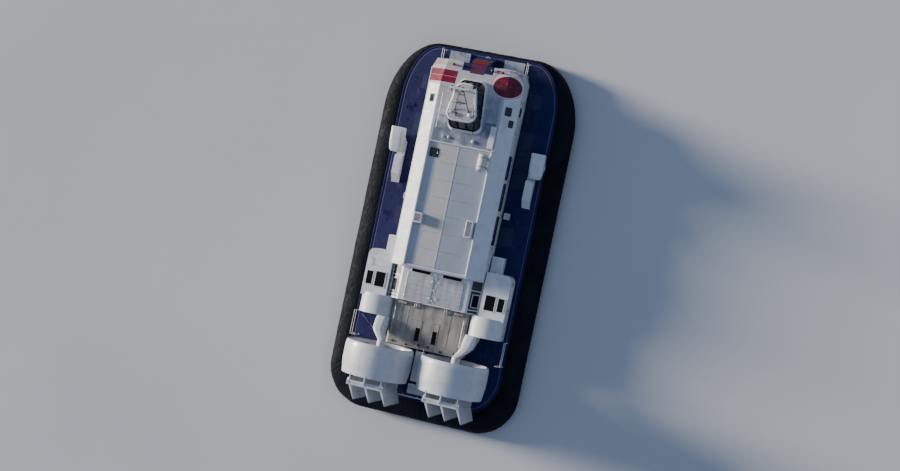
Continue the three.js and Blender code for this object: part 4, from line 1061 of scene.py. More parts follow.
def wall_fittings():
    """Fittings of the side walls, and door frames, sills and grips in the front wall."""
    shape = Shape()
    for _, sign in SIDES:
        side_wall_fittings(shape, sign)
    section = [(0.012, -0.004), (0.012, 0.012), (0.018, 0.016), (0.042, 0.016), (0.046, 0.01), (0.046, -0.004)]
    for _, sign in SIDES:
        middle = sign * 1.76
        rim(shape, (middle - 0.51, 1.335), (middle + 0.51, 2.93), endways(FRONT_WALL, -1), section, 0, 0.03)
        shape.block((sign * 1.2, -10.56, 1.22), (sign * 2.4, -10.545, 1.30), 3, 0.004)
        grip = [(FRONT_WALL, 1.7), (-10.61, 1.73), (-10.61, 2.6), (FRONT_WALL, 2.63)]
        shape.tube([(sign * 2.42, y, z) for y, z in grip], 0.015, 1)
    return shape


piece("window_gaskets", window_gaskets(), [SEAL])
piece("wall_fittings", wall_fittings(), [WHITE, ALLOY, LAMP_GLASS, DARK])


DOOR_HALF = 0.025  # half of a door's thickness
DOOR_FLANGE = [(-0.05, -0.003), (-0.046, 0.005), (-0.006, 0.005), (0, -0.003)]
DOOR_PANEL = [(-0.02, -0.002), (-0.014, 0.005), (-0.006, 0.005), (0, -0.002)]
HINGE_BARREL = [
    (0, 0), (0.019, 0), (0.021, 0.006), (0.021, 0.052), (0.019, 0.056), (0.021, 0.06), (0.021, 0.106),
    (0.019, 0.112), (0, 0.112),
]


def door_leaf(across):
    """Fittings of a door in its own axes: X from hinge to handle, Y outwards, Z up."""
    shape = Shape()
    for side in (1, -1):
        to = endways(side * DOOR_HALF, side)
        rim(shape, (0.27, 2.25), (across - 0.27, 2.70), to, GASKET, 1)
        rim(shape, (0.03, 1.38), (across - 0.03, 2.89), to, DOOR_FLANGE, 0, 0.05)
        plate(shape, (0.12, 1.42), (across - 0.12, 1.60), to, 0.004, 2)
        for low, high in ((1.68, 1.88), (1.94, 2.14)):
            rim(shape, (0.16, low), (across - 0.24, high), to, DOOR_PANEL, 0, 0.03)
        # lever handle on its plate
        plate(shape, (across - 0.135, 1.86), (across - 0.075, 2.1), to, 0.012, 2)
        shape.tube([to(across - 0.105, 2.03, h) for h in (0.008, 0.048)], 0.011, 2, 10)
        lever = [(0.105, 2.03, 0.044), (0.15, 2.032, 0.05), (0.23, 2.03, 0.046)]
        shape.tube([to(across - a, z, h) for a, z, h in lever], 0.0105, 2, 10)
        # dog clips
        for z in (1.5, 2.78):
            plate(shape, (across - 0.085, z - 0.035), (across - 0.03, z + 0.035), to, 0.016, 2, 0.012)
    for z in (1.6, 2.15, 2.74):
        shape.lathe(HINGE_BARREL, (0, 0, z - 0.056), UP, 2, 14)
        shape.block((-0.004, DOOR_HALF - 0.002, z - 0.045), (0.1, DOOR_HALF + 0.005, z + 0.045), 2, 0.003)
        for x, dz in itertools.product((0.04, 0.08), (-0.025, 0.025)):
            shape.knob((x, DOOR_HALF + 0.004, z + dz), 0.006, (0.004, 0.004), 0.004, AFT, 2)
    return shape


def door_glass(across):
    """The pane between a door's two gaskets."""
    shape = Shape()
    shape.block((0.255, -0.006, 2.235), (across - 0.255, 0.006, 2.715), 0, 0.001)
    return shape


for name, sign in SIDES:
    for kind, across, hinge, along, outwards in (
            ("side_door", 1.08, (sign * 2.9453, -8.74), AFT, (sign, 0, 0)),
            ("front_door", 0.98, (sign * 2.25, -10.5753), (-sign, 0, 0), (0, -1, 0))):
        place = Matrix.Translation((*hinge, 0)) @ Matrix((along, outwards, UP)).transposed().to_4x4()
        body = f"{kind}_{name}"
        fittings, glass = Shape().take(door_leaf(across), place), Shape().take(door_glass(across), place)
        piece(f"{body}_fittings", fittings, [WHITE, SEAL, ALLOY], body)
        piece(f"{body}_glass", glass, [GLASS], body)


# Roof

ROOF_LEVEL = 3.6
PANEL_FALL = 0.026  # how far a panel falls to the side for each metre across
PANEL_RIVETS = 9


def roof_panels():
    """Two rows of thin panels in the sunk roof, falling to each side, with rivets along their edges; the port
    panels are painted as sunlit and the starboard ones as shaded.
    """
    shape, rivet = Shape(), Shape()
    rivet.knob((0, 0, 0), 0.008, (0.005, 0.004), 0.005, sides=6)
    underside, ridge = 3.552, 3.604
    rows = spread(-5.34, 2.14, 8)
    for start, end in zip(rows, rows[1:]):
        low, high = start + 0.006, end - 0.006
        # port panels in the paint with painted sunlight, starboard ones in the paint with painted shade
        for finish, inner, outer in ((0, 0.075, 1.235), (1, 0.063, -1.915)):
            eave = ridge - PANEL_FALL * abs(outer - inner)
            section = [(inner, underside), (inner, ridge), (outer, eave), (outer, underside)]
            shape.prism(section, 1, low, high, finish)
            for k in range(PANEL_RIVETS):
                share = (k + 0.5) / PANEL_RIVETS
                x, z = inner + (outer - inner) * share, ridge + (eave - ridge) * share
                shape.take(rivet, *[moved(x, y, z - 0.001) for y in (low + 0.03, high - 0.03)])
    for y in spread(-5.2, 2.05, 26):
        shape.take(rivet, moved(0.069, y, 3.6125))
    shape.block((0.035, -5.36, 3.55), (0.103, 2.16, 3.613), 0, 0.005)
    return shape


def domed(radius, level, rise, steps):
    """The upper part of a dome's profile, from just above the level of its widest place to its top."""
    turns = [math.pi * k / (2 * steps) for k in range(1, steps + 1)]
    return [(radius * math.cos(t), level + rise * radius * math.sin(t)) for t in turns]


def roof_fittings():
    """Kerbs, joint strips, a locker, domes, a grab rail and floodlights on the roof."""
    shape = Shape()
    kerb = [(1.925, 3.55), (1.935, 3.66), (1.96, 3.69), (2.0, 3.695), (2.03, 3.67), (2.075, 3.6), (2.0, 3.585)]
    for _, sign in SIDES:
        shape.prism([(sign * x, z) for x, z in kerb], 1, -5.43, 2.24)
    for y in (-5.46, 2.22):
        shape.block((-1.99, y - 0.04, 3.58), (1.99, y + 0.03, 3.64), 0, 0.015)
    # joint strips down the slopes
    section = ((-0.04, -0.004), (-0.036, 0.006), (0.036, 0.006), (0.04, -0.004))
    for _, sign in SIDES:
        for y in (-7.15, -5.5, -3.9, -1.91, 0.32, 2.05):
            ends = Vector((sign * 2.10, y, 3.586)), Vector((sign * 2.90, y, 3.014))
            shape.strap(ends, Vector(AFT), Vector((sign * 0.6, 0, 0.84)).normalized(), section)
    # life-jacket locker with its lid and clasps
    shape.block((-2.0, -6.95, 3.6), (-1.68, -5.62, 3.82), 0, 0.03)
    shape.block((-2.015, -6.97, 3.81), (-1.665, -5.6, 3.845), 0, 0.012)
    for y in (-6.6, -5.95):
        shape.block((-1.668, y - 0.03, 3.76), (-1.655, y + 0.03, 3.83), 1, 0.003)
    # domes of the position receivers
    for x, radius in ((0.85, 0.09), (1.2, 0.06), (-0.7, 0.11)):
        foot = [(0, 0), (radius * 1.1, 0), (radius * 1.1, 0.02), (radius, 0.03)]
        shape.lathe(foot + domed(radius, 0.03, 0.8, 6), (x, -5.85, 3.599), UP, 2, 20)
    # grab rail on the roof's port shoulder beside the pilothouse
    rail = [(-8.5, 3.6), (-8.48, 3.75), (-6.3, 3.75), (-6.28, 3.6)]
    shape.tube([(1.72, y, z) for y, z in rail], 0.019)
    # floodlights above the bow doors
    lamp = [(0, 0), (0.05, 0), (0.085, 0.06), (0.092, 0.11), (0.088, 0.115), (0, 0.115)]
    for x in (-1.55, -0.9, 0.9, 1.55):
        shape.block((x - 0.03, -10.36, 3.15), (x + 0.03, -10.3, 3.27), 0, 0.008)
        shape.lathe(lamp, (x, -10.25, 3.31), (0, -1, -0.25), 1, 18)
        shape.knob((x, -10.361, 3.283), 0.08, (0.06, 0.012), 0.018, (0, -1, -0.25), 3, 18)
    return shape


def life_raft():
    """A round canister strapped down on a tube cradle."""
    shape = Shape()
    x, y, z, radius, half = -1.6, -4.72, 3.97, 0.29, 0.5
    barrel = [
        (0, -half), (radius * 0.6, -half), (radius * 0.9, -half + 0.03), (radius, -half + 0.1),
        (radius, -0.03), (radius + 0.02, -0.025)]
    shape.lathe(barrel + [(r, -d) for r, d in reversed(barrel)], (x, y, z), AFT, 0, 36)
    bands = (-0.28, 0.28)
    strap_radius = radius + 0.008
    saddle = [
        (-1.0, 0.04), (-0.86, -0.19), (-0.5, -0.33), (0, -0.365), (0.5, -0.33), (0.86, -0.19), (1.0, 0.04)]
    for offset in bands:
        ring = [
            (x + strap_radius * math.cos(t), y + offset, z + strap_radius * math.sin(t))
            for t in circle(36)]
        shape.tube(ring, 0.014, 1, 6, loop=True)
        shape.tube([(x + sx * (radius + 0.05), y + offset, z + sz) for sx, sz in saddle], 0.022, 2)
        for side in (-1, 1):
            leg_x = x + side * 0.2
            shape.tube([(leg_x, y + offset, 3.59), (leg_x, y + offset, z - 0.31)], 0.02, 2)
    for side in (-1, 1):
        runner_x = x + side * 0.34
        shape.tube([(runner_x, y - 0.55, 3.62), (runner_x, y + 0.55, 3.62)], 0.022, 2)
        for offset in bands:
            shape.tube([(runner_x, y + offset, 3.62), (x + side * 0.3, y + offset, z - 0.14)], 0.018, 2)
    return shape


def vent_fittings():
    """Louvre blades round the roof vents and a mesh tray on top."""
    shape = Shape()
    blade = [(-0.004, 0.018), (0.02, -0.006), (0.022, -0.002), (0.004, 0.022)]
    edge = [(0.015, -0.03), (0.018, 0.01), (0.0, 0.02), (-0.05, 0.02), (-0.055, 0.004)]
    for name, _ in SIDES:
        low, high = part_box(f"roof_vent_{name}")
        lo, hi = (low.x, low.y), (high.x, high.y)
        for z in spread(low.z + 0.08, high.z - 0.07, 5):
            rim(shape, lo, hi, upright(z), blade, 0, 0.03)
        rim(shape, lo, hi, upright(high.z), edge, 0, 0.04)
        plate(shape, (low.x + 0.07, low.y + 0.07), (high.x - 0.07, high.y - 0.07), upright(high.z), 0.004, 1)
        count = int((high.y - low.y - 0.16) / 0.035)
        for y in spread(low.y + 0.085, high.y - 0.085, count):
            shape.block(
                (low.x + 0.07, y - 0.006, high.z + 0.004), (high.x - 0.07, y + 0.006, high.z + 0.014), 0, 0.002)
    return shape


def slope_windows():
    """Dark roof lights let into the slopes, with their frames."""
    frames, glass = Shape(), Shape()
    section = [(-0.03, -0.002), (-0.026, 0.014), (0.02, 0.014), (0.028, -0.002)]
    lights = ((-2.42, -8.05, 0.24, 0.2), (-2.68, -7.35, 0.2, 0.14), (2.45, -8.05, 0.24, 0.2))
    for x, y, half_y, half_s in lights:
        sign = math.copysign(1, x)
        down = Vector((sign * 0.84, 0, -0.6)).normalized()
        away = Vector((sign * 0.6, 0, 0.84)).normalized()
        to = slope_from(Vector((x, y, ROOF_LEVEL - 0.6 * (abs(x) - 2.08) / 0.84)), down, away)
        rim(frames, (-half_s, -half_y), (half_s, half_y), to, section, 0, 0.05)
        plate(glass, (-half_s + 0.01, -half_y + 0.01), (half_s - 0.01, half_y - 0.01), to, 0.008, 0, 0.05)
    return frames, glass


piece("roof_panels", roof_panels(), [PANEL_SUNLIT, PANEL_SHADED])
piece("roof_fittings", roof_fittings(), [WHITE, DARK, PLASTIC, LAMP_GLASS])
piece("life_raft", life_raft(), [PLASTIC, BLACK, ALLOY])
piece("roof_vent_louvres", vent_fittings(), [WHITE, DARK])
light_frames, light_glass = slope_windows()
piece("roof_light_frames", light_frames, [DARK])
piece("roof_light_glass", light_glass, [DARK_GLASS])


def hatch_fittings():
    """Gasket, pane, handle and hinge barrels of the roof hatch."""
    shape = Shape()
    low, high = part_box("roof_hatch")
    section = [(-0.05, -0.002), (-0.046, 0.008), (-0.006, 0.008), (0, -0.002)]
    rim(shape, (low.x + 0.02, low.y + 0.02), (high.x - 0.02, high.y - 0.02), upright(high.z), section, 0, 0.04)
    plate(shape, (low.x + 0.09, low.y + 0.09), (high.x - 0.09, high.y - 0.09), upright(high.z), 0.006, 1)
    y = (low.y + high.y) / 2
    shape.handle((low.x + 0.05, y - 0.07, high.z), (low.x + 0.05, y + 0.07, high.z), (0, 0, 0.04), 0.009, 2)
    for side in (-0.16, 0.16):
        shape.knob((1.82, y + side - 0.04, 3.5753), 0.013, (0.013, 0.08), 0.08, AFT, 2, 12)
    return shape


def ramp_fittings(node):
    """A dark frame of painted shade round the edge, tread bars, hinge barrels and two grips on a stowed ramp.
    """
    shape = Shape()
    low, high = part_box(node)
    section = [(-0.09, -0.002), (-0.088, 0.004), (-0.006, 0.004), (-0.001, 0.001), (-0.001, -0.01)]
    # a flat dark band round the ramp's edge: painted shade
    rim(shape, (low.x, low.y), (high.x, high.y), upright(high.z), section, 0, 0.02)
    for y in spread(low.y + 0.13, high.y - 0.13, 11):
        shape.block(
            (low.x + 0.1, y - 0.006, high.z - 0.001), (high.x - 0.1, y + 0.006, high.z + 0.005), 1, 0.002)
    for x in (low.x + 0.2, (low.x + high.x) / 2, high.x - 0.2):
        shape.knob((x - 0.06, -11.35, 1.2603), 0.022, (0.022, 0.12), 0.12, (1, 0, 0), 0, 12)
    for x in (low.x + 0.3, high.x - 0.3):
        y = high.y - 0.05
        shape.handle((x - 0.06, y, high.z), (x + 0.06, y, high.z), (0, 0, 0.035), 0.008, 1)
    return shape


def nose_fittings():
    """A towing eye on its pad at the foot of the nose fairing."""
    shape = Shape()
    shape.block((-0.16, -11.34, DECK), (0.16, -11.26, DECK + 0.02))
    ring = [(0, -11.33 - 0.05 * math.cos(t), DECK + 0.05 + 0.05 * math.sin(t)) for t in circle(16)]
    shape.tube(ring, 0.014, 0, 8, loop=True)
    return shape


def cabin_inside():
    """Floor covering, aisle strips, ceiling lamps and luggage racks inside the cabin."""
    shape = Shape()
    shape.block((-2.8, -9.95, DECK + 0.001), (2.8, 2.24, DECK + 0.006), 0, 0.001)
    for x in (-0.44, 0.44):
        shape.block((x - 0.02, -7.3, DECK + 0.006), (x + 0.02, 2.1, DECK + 0.010), 1, 0.001)
    rack = [(2.8, 2.93), (2.45, 2.95), (2.43, 2.98), (2.8, 2.97)]
    for _, sign in SIDES:
        shape.tube([(sign * 1.5, y, 3.43) for y in (-7.6, 1.9)], 0.03, 2, 10)
        shape.prism([(sign * x, z) for x, z in rack], 1, -7.4, 2.0, 1)
    return shape


piece("roof_hatch_fittings", hatch_fittings(), [DARK, DARK_GLASS, ALLOY], "roof_hatch")
for name, _ in SIDES:
    ramp = f"boarding_ramp_{name}"
    piece(f"{ramp}_treads", ramp_fittings(ramp), [DARK, ALLOY], ramp)
piece("nose_fittings", nose_fittings(), [ALLOY])
piece("cabin_lining", cabin_inside(), [FLOORING, PLASTIC, LAMP_GLASS])


# Pilothouse

PILOT_BASE = {"z": 3.1, "front_half": 1.0, "rear_half": 1.15, "front": -9.7, "rear": -6.1}
PILOT_TOP = {"z": 5.0, "front_half": 0.64, "rear_half": 0.88, "front": -9.06, "rear": -6.85}
PILOT_CORNER = 0.45
WIND_LOW, WIND_HIGH = 3.95, 4.89
ROOF_TOP = 5.2


def pilot_ring(z, grow):
    """The pilothouse's outline at a height, from the port rear corner round by starboard."""
    share = (z - PILOT_BASE["z"]) / (PILOT_TOP["z"] - PILOT_BASE["z"])
    front_half, rear_half, front, rear = [
        PILOT_BASE[key] + (PILOT_TOP[key] - PILOT_BASE[key]) * share
        for key in ("front_half", "rear_half", "front", "rear")]
    rear_x, front_x = rear_half - PILOT_CORNER, front_half - PILOT_CORNER
    rear_y, front_y = rear - PILOT_CORNER, front + PILOT_CORNER
    corners = [
        ((rear_x, rear_y), 0), ((-rear_x, rear_y), 90),
        ((-front_x, front_y), 180), ((front_x, front_y), 270)]
    return [p for centre, start in corners for p in arc(centre, PILOT_CORNER + grow, start, start + 90, 10)]


def pilot_point(side, place, z, proud):
    """A point on the shell: side is front or rear with place as X, or port or starboard with place as Y."""
    ring = pilot_ring(z, proud)
    axis = 0 if side in ("front", "rear") else 1
    best = None
    for i, a in enumerate(ring):
        b = ring[(i + 1) % len(ring)]
        low, high = sorted((a[axis], b[axis]))
        if low <= place <= high and high - low > 1e-9:
            share = (place - a[axis]) / (b[axis] - a[axis])
            point = (a[0] + (b[0] - a[0]) * share, a[1] + (b[1] - a[1]) * share)
            rank = {"front": -point[1], "rear": point[1], "port": point[0], "starboard": -point[0]}[side]
            if best is None or rank > best[0]:
                best = (rank, point)
    return Vector((*best[1], z))


FRONT_PANES = ((-0.18, 0.18), (0.23, 0.60), (-0.60, -0.23))
PANES = [("front", low, high) for low, high in sorted(FRONT_PANES)]
PANES += [("rear", low, high) for low, high in ((-0.78, -0.30), (-0.25, 0.25), (0.30, 0.78))]
PANES += [(name, low, high) for name, _ in SIDES for low, high in ((-8.70, -8.00), (-7.90, -7.25))]
PANE_SECTION = (  # grow, proud
    (-0.016, -0.025), (-0.016, 0.008), (-0.01, 0.012), (0.018, 0.012), (0.024, 0.004), (0.024, -0.01))


def pane_outline(low, high, grow):
    """A pane's outline with points along its straight edges, so that a gasket can follow the curved shell."""
    outline = []
    corners = rounded((low, WIND_LOW), (high, WIND_HIGH), 0.05, grow, 3)
    for i, a in enumerate(corners):
        b = corners[(i + 1) % len(corners)]
        count = 7 if abs(b[0] - a[0]) > 0.1 or abs(b[1] - a[1]) > 0.1 else 1
        outline += [(a[0] + (b[0] - a[0]) * k / count, a[1] + (b[1] - a[1]) * k / count) for k in range(count)]
    return outline


def pilot_gaskets():
    """Rubber round each pane of the pilothouse, and wipers on the front panes."""
    shape = Shape()
    for side, low, high in PANES:
        shape.loft([
            [pilot_point(side, a, b, proud) for a, b in pane_outline(low, high, grow)]
            for grow, proud in PANE_SECTION], loop=True)
    for low, high in FRONT_PANES:
        foot = pilot_point("front", (low + high) / 2, WIND_HIGH + 0.03, 0.015)
        tip = pilot_point("front", low + 0.08, WIND_LOW + 0.3, 0.02)
        shape.knob(foot, 0.022, (0.02, 0.02), 0.022, (0, -1, 0.3), 0, 12)
        elbow = foot.lerp(tip, 0.5) + Vector((0, -0.03, 0))
        shape.tube([foot + Vector((0, -0.018, 0)), elbow, tip + Vector((0, -0.012, 0))], 0.006, 0, 6)
        blade = [pilot_point("front", low + 0.08, WIND_LOW + up, 0.012) for up in (0.08, 0.3, 0.52)]
        shape.tube(blade, 0.007, 0, 6)
    return shape


def pilot_trim():
    """The rim of the pilothouse roof, its base moulding, seams, rails, lamps and horn."""
    shape = Shape()
    edge = ((0.06, -0.06), (0.03, -0.035), (0.015, -0.01), (-0.01, 0.012), (-0.04, 0.012), (-0.06, -0.01))
    shape.loft([
        [(*p, ROOF_TOP + up) for p in pilot_ring(PILOT_TOP["z"], grow)] for grow, up in edge], loop=True)
    for level, grow in ((3.58, 0.028), (3.885, 0.012), (4.945, 0.014)):
        section = ((-0.01, -0.022), (grow - 0.006, -0.018), (grow, 0), (grow - 0.006, 0.018), (-0.01, 0.022))
        shape.loft([[(*p, level + up) for p in pilot_ring(level + up, out)] for out, up in section], loop=True)
    # side lamps in their screens
    lamp = [(0, 0), (0.045, 0), (0.045, 0.02), (0.038, 0.03), (0.038, 0.1), (0.02, 0.12), (0, 0.12)]
    for sign, finish in ((1, 2), (-1, 3)):
        x = sign * 0.86
        shape.block((x - 0.05, -8.86, ROOF_TOP - 0.005), (x + 0.05, -8.52, ROOF_TOP + 0.01), 1, 0.004)
        shape.block((x - sign * 0.05, -8.86, ROOF_TOP), (x - sign * 0.04, -8.52, ROOF_TOP + 0.15), 1, 0.003)
        shape.lathe(lamp, (x, -8.7, ROOF_TOP + 0.005), UP, finish, 16)
    # horn, searchlight and domes
    horn = [(0, 0), (0.03, 0), (0.034, 0.1), (0.05, 0.18), (0.09, 0.24), (0.085, 0.245), (0, 0.2)]
    shape.lathe(horn, (0.28, -7.05, 5.27), (0, -1, 0), 1, 18)
    shape.block((0.25, -7.15, ROOF_TOP - 0.005), (0.31, -7.08, 5.26), 1, 0.005)
    shape.tube([(-0.5, -8.9, ROOF_TOP - 0.01), (-0.5, -8.9, 5.34)], 0.03, 1, 12)
    light = [(0, 0), (0.08, 0), (0.11, 0.03), (0.12, 0.16), (0.112, 0.17), (0, 0.16)]
    shape.lathe(light, (-0.5, -8.84, 5.38), (0, -1, 0.02), 1, 22)
    shape.knob((-0.5, -9.003, 5.383), 0.105, (0.09, 0.015), 0.024, (0, -1, 0.02), 4, 22)
    for x, y, radius in ((-0.55, -7.25, 0.13), (0.62, -7.3, 0.07)):
        dome = [(0, 0), (radius, 0), (radius, 0.05)] + domed(radius, 0.05, 1, 7)
        shape.lathe(dome, (x, y, ROOF_TOP - 0.005), UP, 0, 22)
    # grab rails up the rear face, and low rails along the roof's sides
    for x in (-0.62, 0.62):
        rail = ((3.72, 0), (3.72, 0.07), (4.92, 0.07), (4.92, 0))
        shape.tube([pilot_point("rear", x, z, proud) for z, proud in rail], 0.014, 1)
    for _, sign in SIDES:
        run = [(sign * 0.62, -8.35, ROOF_TOP), (sign * 0.74, -7.2, ROOF_TOP)]
        top = [Vector(p) + Vector((0, 0, 0.11)) for p in run]
        shape.tube([run[0], *top, run[1]], 0.013)
    return shape


def mast_fittings():
    """Collars, a cross bar with two aerials and two lamps on the mast, and pads under its feet."""
    shape = Shape()
    mast_y = -7.76
    for z in (5.75, 6.45, 6.8):
        shape.knob((0, mast_y, z), 0.05, (0.05, 0.05), 0.05, UP, 0, 14)
    shape.tube([(-0.42, mast_y, 6.5), (0.42, mast_y, 6.5)], 0.017)
    for x, top in ((-0.4, 7.1), (0.4, 6.95)):
        shape.tube([(x, mast_y, 6.44), (x, mast_y, 6.62)], 0.018, 1, 10)
        shape.tube([(x, mast_y, 6.62), (x, mast_y, top)], 0.007, 1, 6)
    lamp = [(0, 0), (0.045, 0), (0.045, 0.02), (0.037, 0.03), (0.037, 0.09), (0.02, 0.105), (0, 0.105)]
    for z in (6.88, 6.66):
        shape.block((-0.03, mast_y - 0.13, z - 0.01), (0.03, mast_y, z + 0.005), 0, 0.003)
        shape.lathe(lamp, (0, mast_y - 0.1, z), UP, 2, 14)
    for x, y in ((0.43, -7.45), (-0.43, -7.45), (0, -8.68)):
        shape.knob((x, y, ROOF_TOP - 0.001), 0.085, (0.08, 0.02), 0.025, UP, 0, 16)
    return shape


def scanner_case():
    """The radar's rounded scanner bar on its turning pedestal."""
    shape = Shape()
    low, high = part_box("radar_scanner")
    x0, y0 = (low.x + high.x) / 2, (low.y + high.y) / 2
    half, depth = (high.x - low.x) / 2, 0.068
    middle = high.z - 0.055  # of the bar's height
    ends = ((0, 0.55), (0.008, 0.8), (0.03, 0.95), (0.08, 1))  # distance from the bar's end, size
    stations = [(-half + d, size) for d, size in ends] + [(half - d, size) for d, size in reversed(ends)]
    outline = rounded((-depth, -0.053), (depth, 0.053), 0.03, 0, 5)
    shape.loft([[(x0 + x, y0 + a * size, middle + b * size) for a, b in outline] for x, size in stations])
    pedestal = [
        (0, 0.001), (0.128, 0.001), (0.128, 0.06), (0.12, 0.075), (0.1, 0.085), (0.09, 0.13),
        (0.075, 0.2), (0.06, 0.235), (0, 0.235)]
    shape.lathe(pedestal, (x0, y0, 6.3), UP, 0, 28)
    shape.lathe([(0.129, 0.03), (0.132, 0.032), (0.132, 0.038), (0.129, 0.04)], (x0, y0, 6.3), UP, 1, 28)
    return shape


piece("pilothouse_gaskets", pilot_gaskets(), [SEAL])
piece("pilothouse_trim", pilot_trim(), [WHITE, DARK, RED_GLASS, GREEN_GLASS, LAMP_GLASS])
piece("mast_fittings", mast_fittings(), [MAST_GREY, BLACK, LAMP_GLASS])
SCANNER = "radar_scanner"
piece(f"{SCANNER}_case", scanner_case(), [PLASTIC, DARK], SCANNER, [SCANNER])


# Machinery behind the cabin

CASING_TOP = 2.7
AFT_TOP = 2.4
LIFT_TOP = 2.5
LID_X, LID_Y = (0.11, 1.79), (2.66, 4.34)
VOLUTE_HALF = 1.0675
SLOPE_STRIP = ((-0.03, -0.003), (-0.026, 0.006), (0.026, 0.006), (0.03, -0.003))


def casing_fittings():
    """Louvres, frames, seams, vents and a hand rail on the engine casing."""
    shape = Shape()
    head = bolt(0.01, 0.008)
    frame_section = [
        (-0.004, -0.06), (-0.004, 0.018), (0.004, 0.024), (0.034, 0.024), (0.04, 0.018), (0.04, -0.002)]
    coaming = [(0.014, -0.004), (0.014, 0.01), (0.02, 0.015), (0.036, 0.015), (0.042, 0.01), (0.042, -0.004)]
    louvre = ((-0.015, -0.04), (-0.01, -0.045), (0.02, 0.002), (0.015, 0.007))
    slot_bar = ((-0.008, -0.012), (0.008, -0.012), (0.008, 0.006), (-0.008, 0.006))
    for _, sign in SIDES:
        low_x, high_x = width(sign, 0.4, 1.6)
        rim(shape, (low_x, 2.43), (high_x, 2.63), upright(CASING_TOP), frame_section, 0, 0.01)
        for y in spread(2.455, 2.605, 5):
            shape.prism([(y + a, CASING_TOP + b) for a, b in louvre], 0, low_x, high_x, 1)
        # frame and bars over the flank slot, on the slope
        down = Vector((sign * 0.77, 0, -0.45)).normalized()
        away = Vector((sign * 0.45, 0, 0.77)).normalized()
        slope = slope_from(Vector((sign * 2.15, 0, CASING_TOP)), down, away)
        slot = [(x - 2.15) / 0.863 for x in (2.43, 2.80)]
        rim(shape, (slot[0], 3.25), (slot[1], 4.0), slope, frame_section, 0, 0.02)
        for y in spread(3.33, 3.92, 8):
            shape.loft([[slope(a, y + s, h) for s, h in slot_bar] for a in slot], 1)
        # coaming round each lid, strips down the slope, and screws along its edge
        low_x, high_x = width(sign, *LID_X)
        rim(shape, (low_x, LID_Y[0]), (high_x, LID_Y[1]), upright(CASING_TOP), coaming, 0, 0.012)
        for y in (2.39, 3.0, 4.2):
            shape.strap((slope(0.02, y, 0), slope(0.86, y, 0)), Vector(AFT), away, SLOPE_STRIP)
        shape.take(head, *[moved(sign * 2.1, y, CASING_TOP - 0.001) for y in spread(2.45, 4.36, 14)])
        # dark louvres at the back edge
        x0, x1 = (0.62, 1.86) if sign == 1 else (-1.24, -0.42)
        shape.block((x0, 4.385, CASING_TOP - SUNK), (x1, 4.445, CASING_TOP + 0.045), 0, 0.01)
        shape.block((x0 + 0.02, 4.43, CASING_TOP + 0.004), (x1 - 0.02, 4.452, CASING_TOP + 0.04), 1, 0.003)
    # the strip between the lids, with mushroom vents
    shape.block((-0.03, 2.5, CASING_TOP - SUNK), (0.03, 4.4, CASING_TOP + 0.02), 0, 0.008)
    vent = [(0, 0), (0.045, 0), (0.045, 0.03), (0.06, 0.04), (0.055, 0.055), (0, 0.06)]
    for y in (2.8, 3.5, 4.15):
        shape.lathe(vent, (0, y, CASING_TOP + 0.015), UP, 0, 16)
    # hand rail across the step down to the aft casing
    shape.handle((-2.05, 4.4, CASING_TOP), (-1.4, 4.4, CASING_TOP), (0, 0, 0.16), 0.016)
    return shape


def lid_fittings(sign):
    """Stiffening ribs, edge flange, hinges, handles and catches of one engine lid."""
    shape = Shape()
    low_x, high_x = width(sign, *LID_X)
    top = CASING_TOP + 0.05
    flange = [(-0.035, -0.002), (-0.031, 0.008), (-0.008, 0.008), (-0.003, 0.002), (-0.003, -0.008)]
    rim(shape, (low_x, LID_Y[0]), (high_x, LID_Y[1]), upright(top), flange, 0, 0.02)
    for y in spread(2.86, 4.14, 6):
        shape.swage(y, top, 0.03, 0.018, 0.016, (low_x + 0.12, high_x - 0.12))
    x = sign * 0.2
    for y in (3.0, 4.0):
        shape.handle((x, y - 0.08, top), (x, y + 0.08, top), (0, 0, 0.045), 0.011, 1)
        plate(shape, (x - 0.035, y + 0.2), (x + 0.035, y + 0.3), upright(top), 0.014, 1, 0.015)
    barrel = [(0, 0), (0.018, 0), (0.02, 0.005), (0.02, 0.115), (0.018, 0.12), (0, 0.12)]
    for y in (2.86, 3.5, 4.14):
        shape.lathe(barrel, (sign * LID_X[1], y - 0.06, CASING_TOP + 0.0253), AFT, 1, 14)
        shape.block((sign * 1.68, y - 0.05, top - SUNK), (sign * 1.785, y + 0.05, top + 0.006), 1, 0.002)
    places = [(sign * a, y) for y in spread(2.72, 4.28, 9) for a in (1.76, 0.14)]
    places += [(a, y) for a in spread(low_x + 0.15, high_x - 0.15, 7) for y in (2.69, 4.31)]
    shape.take(bolt(0.008, 0.006), *[moved(*place, top) for place in places])
    return shape


